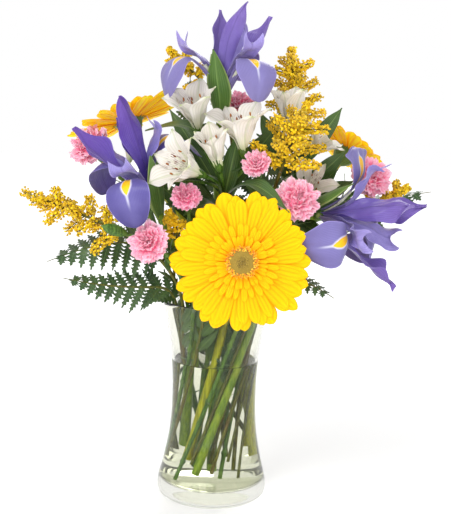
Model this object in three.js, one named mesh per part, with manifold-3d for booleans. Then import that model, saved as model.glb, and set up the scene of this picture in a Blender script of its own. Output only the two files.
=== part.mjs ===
// A florist's bouquet of Dutch irises in a clear glass vase of water, with gerberas, spray carnations,
// alstroemeria, goldenrod and leatherleaf fern. Millimetres, +Z up, the origin at the middle of the vase's
// underside, and -Y the front. A turn is an angle in degrees: 0 is the front and 90 the right.
import * as THREE from "three";
import { mergeVertices } from "three/addons/utils/BufferGeometryUtils.js";
import Module from "manifold-3d";

const wasm = await Module();
wasm.setup();

// ---- driving dimensions ----
// The outside of the glass from foot to rim, each [radius, height].
const GLASS_OUTSIDE = [
  [46.4, 0], [49.7, 4], [49.3, 15], [45.3, 31], [40, 60], [38.3, 92], [40.3, 130], [48.8, 180],
];
const GLASS_WALL = 2.4;
const GLASS_FLOOR = 12.5;
const WATER_LEVEL = 125;
const GAP = 0.35; // between two pieces that touch
const GLASS_SIDES = 24;

const NECK_HEIGHT = 172; // where the stems leave the straight stretch that stands in the vase
const SPIRAL = -90; // the turn, in degrees, from a stem's neck round the vase to its foot
const FOOT_SHARE = 0.95; // a foot's distance from the vase's axis, as a share of its neck's

// ---- stem radii, and the sides of each stem ----
const IRIS_STEM = 3.5;
const GERBERA_STEM = 3.7;
const CARNATION_STEM = 1.7;
const CARNATION_BRANCH = 1.4;
const ALSTROEMERIA_STEM = 2.4;
const PEDICEL = 1.4;
const GOLDENROD_STEM = 1.6;
const FERN_STALK = 1.3;
const THICK_SIDES = 6;
const MEDIUM_SIDES = 5;
const THIN_SIDES = 4;

// ---- colours ----
const finish = (color, roughness) => new THREE.MeshStandardMaterial({ color, roughness, metalness: 0 });
const clear = (color, opacity) =>
  new THREE.MeshStandardMaterial({ color, roughness: 0.02, metalness: 0, transparent: true, opacity });
const GLASS = clear(0xf4faf8, 0.3);
const WATER = clear(0xeef6f0, 0.4);
const PURPLE = finish(0x6a57b5, 0.6);
const YELLOW = finish(0xffd313, 0.6);
const DISC_GREEN = finish(0xb9a33c, 0.8);
const PINK = finish(0xf58bb4, 0.7);
const WHITE = finish(0xf3efe6, 0.6);
const GOLD = finish(0xe8b416, 0.8);
const LEAF_GREEN = finish(0x4d7a34, 0.6);
const PALE_GREEN = finish(0x8fa647, 0.6);
const FERN_GREEN = finish(0x2c4a26, 0.6);

// ---- small helpers ----
const point = (x, y, z) => new THREE.Vector3(x, y, z);
const pointOf = (list) => new THREE.Vector3(...list);
const radians = THREE.MathUtils.degToRad;
const around = (turn, radius, height) =>
  point(radius * Math.sin(radians(turn)), -radius * Math.cos(radians(turn)), height);

/** The value at share s of a list of evenly spaced values. */
function along(values, s) {
  const at = Math.min(Math.max(s, 0), 1) * (values.length - 1);
  const i = Math.min(Math.floor(at), values.length - 2);
  return THREE.MathUtils.lerp(values[i], values[i + 1], at - i);
}

/** A frame at a place, with +Z along axis and +X towards the front, or towards another given direction. */
function frameAt(place, axis, towards = [0, -1, 0]) {
  const z = pointOf(axis).normalize();
  const x = pointOf(towards);
  x.addScaledVector(z, -x.dot(z)).normalize();
  const y = new THREE.Vector3().crossVectors(z, x);
  return new THREE.Matrix4().makeBasis(x, y, z).setPosition(pointOf(place));
}

/** A solid through a row of rings of points. A ring of one point closes an end to a tip. */
function loft(rings, alike = false) {
  const points = rings.flat();
  const starts = rings.map((_, i) => rings.slice(0, i).reduce((sum, ring) => sum + ring.length, 0));
  const faces = [];
  for (let i = 0; i + 1 < rings.length; i++) {
    const [a, b] = [starts[i], starts[i + 1]];
    const [na, nb] = [rings[i].length, rings[i + 1].length];
    const n = Math.max(na, nb);
    for (let j = 0; j < n; j++) {
      const k = (j + 1) % n;
      if (na === 1) faces.push([a, b + k, b + j]);
      else if (nb === 1) faces.push([a + j, a + k, b]);
      else if (alike && j >= n / 2) faces.push([a + j, a + k, b + j], [a + k, b + k, b + j]);
      else faces.push([a + j, a + k, b + k], [a + j, b + k, b + j]);
    }
  }
  const last = starts.length - 1;
  for (let j = 1; j + 1 < rings[0].length; j++) faces.push([0, j + 1, j]);
  const end = starts[last];
  for (let j = 1; j + 1 < rings[last].length; j++) faces.push([end, end + j, end + j + 1]);
  const made = new THREE.BufferGeometry();
  const numbers = points.flatMap((p) => [p.x, p.y, p.z]);
  made.setAttribute("position", new THREE.Float32BufferAttribute(numbers, 3));
  const volume = faces.reduce(
    (sum, [p, q, r]) => sum + points[p].dot(new THREE.Vector3().crossVectors(points[q], points[r])), 0);
  made.setIndex((volume < 0 ? faces.map(([p, q, r]) => [p, r, q]) : faces).flat());
  return made;
}

/** A closed geometry as a manifold-3d solid. */
function solidOf(geometry) {
  const bare = geometry.clone();
  bare.deleteAttribute("normal");
  bare.deleteAttribute("uv");
  const merged = mergeVertices(bare, 1e-4);
  const index = [];
  for (let i = 0; i < merged.index.count; i += 3) {
    const [a, b, c] = [0, 1, 2].map((k) => merged.index.getX(i + k));
    if (a !== b && b !== c && c !== a) index.push(a, b, c);
  }
  return new wasm.Manifold(new wasm.Mesh({
    numProp: 3,
    vertProperties: new Float32Array(merged.attributes.position.array),
    triVerts: new Uint32Array(index),
  }));
}

/** One solid of many that run into each other. Scraps that stay loose are dropped. */
function fuse(solids) {
  let row = solids.slice();
  while (row.length > 1) {
    const next = [];
    for (let i = 0; i < row.length; i += 2) next.push(i + 1 < row.length ? row[i].add(row[i + 1]) : row[i]);
    row = next;
  }
  return biggest(row[0]);
}

/** The largest of the separate bodies that a solid holds. */
function biggest(solid) {
  return solid.decompose().reduce((best, body) => (body.volume() > best.volume() ? body : best));
}

/** A way through a row of places, straight from each to the next. */
class Route extends THREE.Curve {
  constructor(places) {
    super();
    this.places = places;
  }

  getPoint(t, target = new THREE.Vector3()) {
    const at = Math.min(Math.max(t, 0), 1) * (this.places.length - 1);
    const i = Math.min(Math.floor(at), this.places.length - 2);
    return target.lerpVectors(this.places[i], this.places[i + 1], at - i);
  }

  getUtoTmapping(u) {
    return u;
  }
}

/** A round rod of one thickness along a row of places. */
function rod(places, radius, sides) {
  const middle = new THREE.Vector2();
  const corner = (j) => new THREE.Vector2(radius, 0).rotateAround(middle, (2 * Math.PI * j) / sides);
  const round = new THREE.Shape(Array.from({ length: sides }, (_, j) => corner(j)));
  return solidOf(new THREE.ExtrudeGeometry(round, {
    steps: places.length - 1, extrudePath: new Route(places), bevelEnabled: false,
  }));
}

/** Rings of corners round a row of places. Corner j of ring i stands out by reachOf(i, j), and 0 is a tip. */
function ringsAlong(places, sides, reachOf) {
  const last = places.length - 1;
  let side = null;
  return places.map((place, i) => {
    const ahead = places[Math.min(i + 1, last)].clone().sub(places[Math.max(i - 1, 0)]).normalize();
    side ??= Math.abs(ahead.z) > 0.9 ? point(1, 0, 0) : point(0, 0, 1);
    side = side.clone().addScaledVector(ahead, -side.dot(ahead)).normalize();
    const other = new THREE.Vector3().crossVectors(ahead, side);
    if (reachOf(i, 0) === 0) return [place];
    return Array.from({ length: sides }, (_, j) => {
      const angle = (2 * Math.PI * j) / sides;
      const [x, y] = [Math.cos(angle), Math.sin(angle)].map((v) => v * reachOf(i, j));
      return place.clone().addScaledVector(side, x).addScaledVector(other, y);
    });
  });
}

/** A tapering tube through its stations, each [place, radius]. A last radius of 0 makes a tip. */
const tube = (stations, sides) =>
  solidOf(loft(ringsAlong(stations.map(([place]) => place), sides, (i) => stations[i][1])));

/** A thin keen-edged blade over surface(s, t), with s from root to tip and t from -1 to 1 across. */
function blade(surface, { steps = 4, thick = 1.1, rooted = false, pointed = true }) {
  const step = 1e-3;
  const normal = (s, t) => {
    const [s0, s1] = [Math.max(s - step, 0), Math.min(s + step, 1)];
    const ahead = surface(s1, t).sub(surface(s0, t));
    const across = surface(s, t + step).sub(surface(s, t - step));
    return ahead.cross(across).normalize();
  };
  const rings = Array.from({ length: steps + 1 }, (_, i) => {
    const s = i / steps;
    if ((pointed && i === steps) || (rooted && i === 0)) return [surface(s, 0)];
    const out = normal(Math.min(s, 0.999), 0).multiplyScalar(thick / 2);
    return [surface(s, -1), surface(s, 0).add(out), surface(s, 1), surface(s, 0).sub(out)];
  });
  return solidOf(loft(rings, true));
}

/** A surface for blade(): it follows spine, a list of [out, up], and is half(s) wide to each side. lean and
 * twist are in degrees, and the twist is the one at the tip. */
function petal({ spine, half, cup = 0, sway = 0, lean = 0, twist = 0, notch = 0, wave = 0 }) {
  const line = new THREE.SplineCurve(spine.map(([out, up]) =>
    new THREE.Vector2(out, up).rotateAround(new THREE.Vector2(...spine[0]), -radians(lean))));
  return (s, t) => {
    const place = line.getPoint(s);
    const ahead = line.getTangent(s);
    const width = t * along(half, s);
    const roll = radians(twist) * s;
    const lift = cup * Math.abs(t * width) + wave * Math.sin(9 * s + 2 * t) * t + width * Math.sin(roll);
    const back = notch * s * s * s * (1 - t * t);
    return point(
      place.x - ahead.y * lift - ahead.x * back,
      width * Math.cos(roll) + sway * s * s,
      place.y + ahead.x * lift - ahead.y * back,
    );
  };
}

/** A frame turned round its own axis. */
const turned = (frame, turn) => frame.clone().multiply(new THREE.Matrix4().makeRotationZ(radians(turn)));

/** A surface turned round a frame's axis and set in that frame. */
function placed(surface, frame, turn) {
  const move = turned(frame, turn);
  return (s, t) => surface(s, t).applyMatrix4(move);
}

// ---- the stems: straight in the vase, in three rings, then bent out to what they carry ----
const CENTRE = 0;
const INNER = 13;
const MIDDLE = 26;
const OUTER = 39;

/** The route of a stem: its foot, its neck, then places on a curve that ends at end, heading along axis. */
function stemRoute({ ring, turn, foot, end, axis, bend = 0.42 }) {
  const neck = around(turn, ring, NECK_HEIGHT);
  const low = around(turn + SPIRAL, ring * FOOT_SHARE, GLASS_FLOOR + 1);
  const ahead = neck.clone().sub(low).normalize();
  const start = neck.clone().addScaledVector(ahead, -(NECK_HEIGHT - foot) / ahead.z);
  const reach = neck.distanceTo(pointOf(end));
  const curve = new THREE.CubicBezierCurve3(
    neck,
    neck.clone().addScaledVector(ahead, bend * 0.8 * reach),
    pointOf(end).addScaledVector(pointOf(axis).normalize(), -bend * reach),
    pointOf(end),
  );
  return [start, ...curve.getPoints(4)];
}

/** A side branch from a place on one route to an end, heading along axis. */
function branchRoute(from, end, axis, bend = 0.4) {
  const reach = from.distanceTo(pointOf(end));
  const ahead = pointOf(end).sub(from).normalize().add(point(0, 0, 0.5)).normalize();
  const curve = new THREE.CubicBezierCurve3(
    from,
    from.clone().addScaledVector(ahead, bend * reach),
    pointOf(end).addScaledVector(pointOf(axis).normalize(), -bend * reach),
    pointOf(end),
  );
  return curve.getPoints(3);
}

const nodes = [];
const holes = [];
const keep = (name, solid, material) => nodes.push({ name, solid, material });

/** Notes the hole that a stem needs in the water. */
function hole(route, radius, sides) {
  const [foot, neck] = route;
  const down = foot.clone().sub(neck).normalize();
  holes.push(rod([foot.clone().addScaledVector(down, GAP), neck], radius + GAP, sides));
}

// ---- the vase and the water ----
const wallRadius = (height) => {
  const i = Math.max(1, GLASS_OUTSIDE.findIndex(([, z]) => z >= height));
  const [[r0, z0], [r1, z1]] = [GLASS_OUTSIDE[i - 1], GLASS_OUTSIDE[i]];
  return THREE.MathUtils.lerp(r0, r1, (height - z0) / (z1 - z0)) - GLASS_WALL;
};
const lathe = (profile) => {
  const outline = profile.map(([r, z]) => new THREE.Vector2(r, z));
  return solidOf(new THREE.LatheGeometry(outline, GLASS_SIDES).rotateX(Math.PI / 2));
};

function makeVase() {
  const inside = GLASS_OUTSIDE.filter(([, z]) => z > GLASS_FLOOR).map(([r, z]) => [r - GLASS_WALL, z]);
  const profile = [
    [0, 0], ...GLASS_OUTSIDE, ...inside.reverse(),
    [wallRadius(GLASS_FLOOR + 3) - 1, GLASS_FLOOR + 1.2], [wallRadius(GLASS_FLOOR) - 5, GLASS_FLOOR],
    [0, GLASS_FLOOR],
  ];
  keep("vase", lathe(profile), GLASS);
}

function makeWater() {
  const side = GLASS_OUTSIDE.filter(([, z]) => z > GLASS_FLOOR && z < WATER_LEVEL - 1)
    .map(([r, z]) => [r - GLASS_WALL - GAP, z]);
  const profile = [
    [0, GLASS_FLOOR + GAP], [wallRadius(GLASS_FLOOR) - 5.4, GLASS_FLOOR + GAP],
    [wallRadius(GLASS_FLOOR + 3) - 1.6, GLASS_FLOOR + 1.6], ...side,
    [wallRadius(WATER_LEVEL) - GAP, WATER_LEVEL], [0, WATER_LEVEL],
  ];
  keep("water", biggest(holes.reduce((left, cut) => left.subtract(cut), lathe(profile))), WATER);
}

// ---- irises ----
const IRIS_HUB = 4.8; // the radius of the small ball that an iris's petals grow from
const FALL_SPINE = [[3.4, 1], [11, 15], [22, 28], [34, 35], [45, 32], [52, 19], [54, 2]];
const CREST = 3; // the place on a fall's spine from which it hangs down
const FALL_HALF = [1.8, 3.4, 4.4, 7, 16, 18.5, 15, 4];
const STYLE_SPINE = [[0.8, 1], [8, 20], [18, 33], [29, 40], [36, 47], [36, 57]];
const STYLE_HALF = [1.5, 4.2, 6, 8, 10, 8];
const STANDARD_SPINE = [[3.2, 2], [7, 24], [12, 48], [15, 66], [14, 82]];
const STANDARD_HALF = [1.8, 3.4, 9, 12, 9.5, 1];

/** Three falls with the style arms over them, and three standards between, on a small base. */
function makeIris({ name, base, axis, falls, standards, size = 1 }) {
  const frame = frameAt(base, axis).scale(point(size, size, size));
  const crestUp = FALL_SPINE[CREST][1];
  const parts = [solidOf(new THREE.SphereGeometry(IRIS_HUB, THICK_SIDES, 4).applyMatrix4(frame))];
  for (const { turn, lean = 0, sway = 0, droop = 1 } of falls) {
    const spine = FALL_SPINE.map(([out, up], i) => [out, i > CREST ? crestUp - droop * (crestUp - up) : up]);
    const fall = petal({ spine, half: FALL_HALF, cup: -0.12, lean, sway });
    parts.push(blade(placed(fall, frame, turn), { steps: 6, thick: 1.2, rooted: true, pointed: false }));
    const arm = petal({
      spine: STYLE_SPINE, half: STYLE_HALF, cup: -0.3, lean, sway: sway * 0.6, notch: 9,
    });
    parts.push(blade(placed(arm, frame, turn), { steps: 4, rooted: true, pointed: false }));
  }
  for (const { turn, lean = 0, sway = 0, twist = 0, long = 1, wide = 1 } of standards) {
    const spine = STANDARD_SPINE.map(([out, up]) => [out, up * long]);
    const half = STANDARD_HALF.map((h) => h * wide);
    const standard = petal({ spine, half, cup: 0.35, lean, sway, twist, wave: 1 });
    parts.push(blade(placed(standard, frame, turn), { steps: 5, rooted: true }));
  }
  keep(`${name}_flower`, fuse(parts), PURPLE);
}

/** The stem with the sheathing bracts that stand round the flower's base. */
function makeIrisStem({ name, base, axis, slot, bracts, size = 1 }) {
  const direction = pointOf(axis).normalize();
  const end = pointOf(base).addScaledVector(direction, -(IRIS_HUB * size + GAP));
  const route = stemRoute({ ...slot, end: end.toArray(), axis });
  hole(route, IRIS_STEM, THICK_SIDES);
  const frame = frameAt(end.toArray(), axis);
  const swelling = [[-19, IRIS_STEM], [0, 1.3 * IRIS_STEM]].map(([height, r]) =>
    [point(0, 0, height).applyMatrix4(frame), r]);
  const parts = [rod(route, IRIS_STEM, THICK_SIDES), tube(swelling, THICK_SIDES)];
  for (const { turn, length, sway = 0 } of bracts) {
    const spine = [[1.5, -16], [8.4, 3], [13.4, length * 0.45], [18.5, length]];
    const sheath = petal({ spine, half: [3, 7, 6.4, 0.5], cup: 0.2, sway });
    parts.push(blade(placed(sheath, frame, turn), { steps: 3, thick: 1.2 }));
  }
  keep(`${name}_stem`, fuse(parts), LEAF_GREEN);
}

const IRISES = [
  {
    name: "iris_top", base: [0, -20, 362], axis: [0.06, -0.08, 1], size: 1,
    slot: { ring: CENTRE, turn: 0, foot: 20 },
    falls: [{ turn: 34 }, { turn: 300, lean: 6 }, { turn: 165, lean: -12 }],
    standards: [{ turn: 343, lean: 2, sway: 20, wide: 0.75 }, { turn: 102, lean: 16, long: 0.94, twist: 30 },
      { turn: 225, lean: -2, long: 0.88 }],
    bracts: [{ turn: 352, length: 45, sway: -9 }, { turn: 225, length: 40 }],
  },
  {
    name: "iris_left", base: [-57, -48, 276], axis: [-0.34, -0.34, 0.88], size: 1,
    slot: { ring: MIDDLE, turn: 316, foot: 40 },
    falls: [{ turn: 344 }, { turn: 226 }, { turn: 108, lean: -14 }],
    standards: [{ turn: 40, lean: -4 }, { turn: 286, lean: 26, twist: 75 }, { turn: 164, lean: 2, sway: 10, wide: 0.7, long: 0.86 }],
    bracts: [{ turn: 44, length: 46 }, { turn: 166, length: 40 }],
  },
  {
    name: "iris_right", base: [87.4, -33, 264], axis: [0.88, -0.46, 0.04], size: 1.08,
    slot: { ring: OUTER, turn: 62, foot: 26 },
    falls: [{ turn: 22 }, { turn: 272, droop: 0.2 }, { turn: 147 }],
    standards: [{ turn: 322, lean: 2 }, { turn: 82, lean: 30 }, { turn: 202, lean: 4 }],
    bracts: [{ turn: 322, length: 46 }, { turn: 202, length: 44 }],
  },
];

// ---- gerberas ----
const GERBERA_HUB = 13;
const RAY_HALF = 0.6; // half the thickness of a ray petal
const CUP_DEPTH = 18; // from the middle of the hub down to where the green cup meets the stem
const DISC_SIDES = 10;
const GERBERA_LAYERS = [
  { share: 1, height: -2.7, stations: [[0, 0], [0.62, 0.97], [0.88, 0.84], [1, 0.36]] },
  { share: 0.86, height: 0, stations: [[0, 0], [0.7, 0.97], [1, 0.42]] },
  { share: 0.52, height: 2.7, stations: [[0, 0], [0.7, 0.8], [1, 0.36]] },
];

/** Layers of ray petals round a hub, the disc of small florets on it, and the stem with its green cup. */
function makeGerbera({ name, at, axis, radius, slot, counts, dish = 0 }) {
  const frame = frameAt(at, axis, [0.02, 0.03, 1]);
  const hub = new THREE.CylinderGeometry(GERBERA_HUB, 11, 8, 14).rotateX(Math.PI / 2);
  const parts = [solidOf(hub.applyMatrix4(frame))];
  GERBERA_LAYERS.forEach(({ share, height, stations }, layer) => {
    for (let i = 0; i < counts[layer]; i++) {
      const reach = radius * share * (1 - 0.05 * ((i * 7) % 5) / 4);
      const root = GERBERA_HUB - 3;
      const rings = stations.map(([s, fill]) => {
        const out = THREE.MathUtils.lerp(root, reach, s);
        const up = height + 0.06 * (out - root) + dish * (out - root) * (out / radius);
        const half = (fill * Math.PI * out) / counts[layer];
        if (half === 0) return [[out, 0, up]];
        return [[out, -half, up], [out, 0, up + RAY_HALF], [out, half, up], [out, 0, up - RAY_HALF]];
      });
      const move = turned(frame, (360 * (i + 0.5 * layer)) / counts[layer]);
      const set = (place) => pointOf(place).applyMatrix4(move);
      parts.push(solidOf(loft(rings.map((ring) => ring.map(set)), true)));
    }
  });
  keep(`${name}_petals`, fuse(parts), YELLOW);

  const rings = [[11.4, 4.4, 0], [11.2, 5.4, 0.5], [7.4, 6.6, 0.7], [3.6, 7.2, 0.7]];
  const disc = rings.map(([r, z, bump], ring) =>
    Array.from({ length: DISC_SIDES }, (_, j) => {
      const angle = (2 * Math.PI * (j + 0.5 * ring)) / DISC_SIDES;
      const height = z + bump * (j % 2 ? 1 : -1);
      return point(r * Math.cos(angle), r * Math.sin(angle), height).applyMatrix4(frame);
    }));
  keep(`${name}_disc`, solidOf(loft([...disc, [point(0, 0, 7).applyMatrix4(frame)]])), DISC_GREEN);

  const foot = point(0, 0, 1 - CUP_DEPTH).applyMatrix4(frame);
  const route = stemRoute({ ...slot, end: foot.toArray(), axis });
  hole(route, GERBERA_STEM, THICK_SIDES);
  const cup = [[-CUP_DEPTH, GERBERA_STEM], [-12, 8.5], [-4.4, 10.6]].map(([height, r]) =>
    [point(0, 0, height).applyMatrix4(frame), r]);
  keep(`${name}_stem`, fuse([rod(route, GERBERA_STEM, THICK_SIDES), tube(cup, DISC_SIDES)]), PALE_GREEN);
}

const GERBERAS = [
  { name: "gerbera_front", at: [20, -96, 230], axis: [0.03, -0.98, 0.17], radius: 59,
    counts: [24, 17, 12], slot: { ring: MIDDLE, turn: 22, foot: 34, bend: 0.5 } },
  { name: "gerbera_left", at: [-86, 26, 341], axis: [-0.38, 0.26, 0.89], radius: 58, dish: 0.06,
    counts: [15, 9, 6], slot: { ring: OUTER - 3, turn: 172, foot: 34 } },
  { name: "gerbera_right", at: [119, 48, 318], axis: [0.45, 0.12, 0.85], radius: 44,
    counts: [15, 9, 6], slot: { ring: OUTER - 3, turn: 148, foot: 46 } },
];

// ---- spray carnations ----
/** The waved layers of a head of frilled petals, each [out, up, frill], in shares of its radius. */
const CARNATION_LAYERS = [
  [0.2, -0.62, 0], [0.7, -0.3, 0], [1, 0, 1], [0.72, 0.06, -0.3], [0.88, 0.38, 1], [0.52, 0.3, -0.3],
  [0.56, 0.66, 1], [0.22, 0.42, -0.4],
];
const FRILLS = 7;
const HEAD_DEPTH = 0.62; // the same share below and above the middle of a head
const CALYX_LENGTH = 15;

function makeCarnationHead({ name, at, axis, radius }, index) {
  const frame = frameAt(at, axis, [0.1, 0.2, 1]);
  const corner = (layer, j) => {
    const [out, up, frill] = CARNATION_LAYERS[layer];
    const angle = (Math.PI * (j + 0.55 * Math.sin(3.1 * j + 1.7 * layer + index) + layer)) / FRILLS;
    const crest = frill * (j % 2 ? 1 : -1) * (0.85 + 0.35 * Math.sin(5.3 * j + 2 * layer + index));
    const reach = radius * (out + 0.07 * crest);
    const height = radius * (up + 0.12 * crest);
    return point(reach * Math.cos(angle), reach * Math.sin(angle), height).applyMatrix4(frame);
  };
  const rings = CARNATION_LAYERS.map((_, layer) =>
    Array.from({ length: 2 * FRILLS }, (_, j) => corner(layer, j)));
  keep(name, solidOf(loft([...rings, [point(0, 0, radius * HEAD_DEPTH).applyMatrix4(frame)]])), PINK);
}

/** The green tube that holds a carnation's petals, ending under the head. */
function calyx({ at, axis, radius }) {
  const frame = frameAt(at, axis);
  const neck = -HEAD_DEPTH * radius - GAP;
  return tube([[neck - CALYX_LENGTH, CARNATION_BRANCH], [neck - 11, 3.3], [neck - 3, 4.3], [neck, 3.8]]
    .map(([height, r]) => [point(0, 0, height).applyMatrix4(frame), r]), 6);
}

function makeCarnations({ name, slot, heads, buds = [] }, sprayIndex) {
  const ends = heads.map((head) => pointOf(head.at)
    .addScaledVector(pointOf(head.axis).normalize(), 2 - HEAD_DEPTH * head.radius - CALYX_LENGTH));
  const route = stemRoute({ ...slot, end: ends[0].toArray(), axis: heads[0].axis });
  hole(route, CARNATION_STEM, THIN_SIDES);
  const parts = [rod(route, CARNATION_STEM, THIN_SIDES)];
  heads.forEach((head, i) => {
    parts.push(calyx(head));
    const branch = branchRoute(route[2], ends[i].toArray(), head.axis);
    if (i > 0) parts.push(rod(branch, CARNATION_BRANCH, THIN_SIDES));
    makeCarnationHead({ ...head, name: `${name}_head_${i + 1}` }, i + 3 * sprayIndex);
  });
  for (const { at, axis } of buds) {
    const frame = frameAt(at, axis);
    const outline = [[-10, CARNATION_BRANCH], [-3, 4.4], [5, 4.8], [12, 2.4], [14, 0]];
    parts.push(tube(outline.map(([height, r]) => [point(0, 0, height).applyMatrix4(frame), r]), 6));
    const end = point(0, 0, -9).applyMatrix4(frame);
    parts.push(rod(branchRoute(route[2], end.toArray(), axis), CARNATION_BRANCH, THIN_SIDES));
  }
  keep(`${name}_stem`, fuse(parts), LEAF_GREEN);
}

const CARNATIONS = [
  { name: "carnation_a", slot: { ring: OUTER, turn: 330, foot: 28 },
    heads: [{ at: [-55, -90, 243], axis: [-0.25, -0.9, 0.3], radius: 17.5 },
      { at: [-27, -74, 279], axis: [-0.05, -0.8, 0.55], radius: 13 }],
    buds: [{ at: [-84, -74, 250], axis: [-0.8, -0.4, 0.3] }] },
  { name: "carnation_b", slot: { ring: OUTER, turn: 34, foot: 16, bend: 0.28 },
    heads: [{ at: [64, -66, 279], axis: [0.1, -0.85, 0.45], radius: 19.5 },
      { at: [30, -60, 307], axis: [-0.1, -0.8, 0.6], radius: 12.5 }] },
  { name: "carnation_c", slot: { ring: MIDDLE, turn: 270, foot: 60 },
    heads: [{ at: [-114, -12, 316], axis: [-0.5, -0.6, 0.6], radius: 19.5 }] },
  { name: "carnation_d", slot: { ring: MIDDLE, turn: 104, foot: 20 },
    heads: [{ at: [131, -16, 296], axis: [0.2, -0.9, 0.4], radius: 19 }] },
  { name: "carnation_e", slot: { ring: INNER, turn: 150, foot: 50 },
    heads: [{ at: [15, 14, 355], axis: [0.1, -0.1, 1], radius: 16 }] },
];

// ---- alstroemeria ----
const OUTER_TEPAL = [2.4, 5.6, 10, 0];
const INNER_TEPAL = [1.4, 3, 6.4, 0];

/** A funnel with three broad tepals and three narrow ones inside them. open is 0 shut and 1 laid wide. */
function makeLily({ name, base, axis, open, turn = 0, length = 44 }) {
  const frame = frameAt(base, axis, [0.1, 0.1, 1]);
  const funnel = [[0, 1.9], [5, 4], [0.3 * length, 6.6]];
  const parts = [tube(funnel.map(([height, r]) => [point(0, 0, height).applyMatrix4(frame), r]), 6)];
  for (let i = 0; i < 6; i++) {
    const inner = i % 2;
    const spine = [
      [3.4, 0.2], [5.4 + 3 * open, 0.42], [9 + 13 * open, 0.74 - 0.1 * open],
      [13 + 24 * open, 1 - 0.28 * open],
    ].map(([out, up]) => [out - 2 * inner, length * up * (1 - 0.04 * inner)]);
    const tepal = petal({ spine, half: inner ? INNER_TEPAL : OUTER_TEPAL, cup: inner ? 0.2 : 0.3 });
    parts.push(blade(placed(tepal, frame, turn + 60 * i), { steps: 3, rooted: true }));
  }
  keep(name, fuse(parts), WHITE);
}

/** A closed white bud. */
function makeLilyBud({ name, base, axis }) {
  const frame = frameAt(base, axis);
  const outline = [[0, 1.6], [8, 4.4], [17, 5.4], [25, 3.6], [30, 0]];
  keep(name, tube(outline.map(([height, r]) => [point(0, 0, height).applyMatrix4(frame), r]), 6), WHITE);
}

const leafSurface = ({ from, to, half, arch, face }) => {
  const [a, b] = [pointOf(from), pointOf(to)];
  const ahead = b.clone().sub(a);
  const up = pointOf(face).addScaledVector(ahead, -pointOf(face).dot(ahead) / ahead.lengthSq()).normalize();
  const across = new THREE.Vector3().crossVectors(ahead, up).normalize();
  return (s, t) => {
    const width = along(half, s);
    return a.clone().addScaledVector(ahead, s)
      .addScaledVector(up, arch * Math.sin(Math.PI * s) + 0.3 * width * t * t)
      .addScaledVector(across, t * width);
  };
};
const leaf = (shape) => blade(leafSurface(shape), { steps: 3, thick: 1.2 });

function makeAlstroemeria({ name, slot, umbel, lilies, buds = [], leaves }) {
  const route = stemRoute({ ...slot, end: umbel, axis: [0, -0.15, 1] });
  hole(route, ALSTROEMERIA_STEM, MEDIUM_SIDES);
  const joint = new THREE.SphereGeometry(3.8, 5, 3).translate(...umbel);
  const parts = [rod(route, ALSTROEMERIA_STEM, MEDIUM_SIDES), solidOf(joint)];
  const pedicel = (base, axis) => {
    const direction = pointOf(axis).normalize();
    const end = pointOf(base).addScaledVector(direction, -1);
    const bend = branchRoute(pointOf(umbel), end.toArray(), axis);
    const below = end.clone().addScaledVector(direction, -5);
    const stations = [...bend.slice(0, -1).map((place) => [place, PEDICEL]), [below, PEDICEL]];
    parts.push(tube([...stations, [end, 1.5 * PEDICEL]], THIN_SIDES));
  };
  lilies.forEach((lily, i) => {
    makeLily({ ...lily, name: `${name}_flower_${i + 1}` });
    pedicel(lily.base, lily.axis);
  });
  buds.forEach((bud, i) => {
    makeLilyBud({ ...bud, name: `${name}_bud_${i + 1}` });
    pedicel(bud.base, bud.axis);
  });
  parts.push(...leaves.map(leaf));
  keep(`${name}_stem`, fuse(parts), LEAF_GREEN);
}

const LEAF_HALF = [1.4, 7.4, 7.4, 0];
const ALSTROEMERIAS = [
  { name: "alstroemeria_a", slot: { ring: INNER, turn: 340, foot: 22 }, umbel: [4, -36, 282],
    lilies: [
      { base: [-18, -38, 328], axis: [-0.2, -0.15, 0.95], open: 0.35, turn: 10 },
      { base: [20, -50, 311], axis: [-0.16, -0.25, 0.95], open: 0.7, turn: 0 },
      { base: [-12, -58, 296], axis: [-0.62, -0.72, 0.3], open: 0.8, turn: 20 },
      { base: [0, -58, 300], axis: [-0.25, -0.35, 0.9], open: 0.1, turn: 40, length: 34 },
    ],
    buds: [{ base: [-80, -16, 303], axis: [0.1, 0, 1] }],
    leaves: [
      { from: [4, -36, 276], to: [14, -46, 330], half: LEAF_HALF, arch: -6, face: [0, 1, 0] },
      { from: [4, -36, 272], to: [56, -87, 253], half: LEAF_HALF, arch: 16, face: [0, 0, 1] },
    ] },
  { name: "alstroemeria_b", slot: { ring: INNER, turn: 78, foot: 30 }, umbel: [66, 0, 300],
    lilies: [
      { base: [59, -18, 330], axis: [-0.05, -0.1, 1], open: 0.2, turn: 15 },
      { base: [77, -18, 313], axis: [0.55, -0.1, 0.75], open: 0.4, turn: 0, length: 28 },
    ],
    leaves: [
      { from: [67, 2, 300], to: [106, 6, 356], half: LEAF_HALF, arch: -4, face: [0, 1, 0] },
    ] },
  { name: "alstroemeria_c", slot: { ring: MIDDLE, turn: 50, foot: 36 }, umbel: [64, -6, 250],
    lilies: [{ base: [77, -8, 278], axis: [0.04, -0.8, 0.5], open: 0.5, turn: 30, length: 32 }],
    leaves: [] },
];

// ---- goldenrod ----
/** A knobbly twig whose corners stand out and in by turns, as rows of small flower heads do. */
function floretTwig(places, radius, phase) {
  const last = places.length - 1;
  const reachOf = (i, j) => {
    if (i === 0 || i === last) return 0;
    return radius * (1 - 0.4 * (i / last)) * ((i + j + phase) % 2 ? 1.3 : 0.45);
  };
  return solidOf(loft(ringsAlong(places, THIN_SIDES, reachOf)));
}

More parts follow.
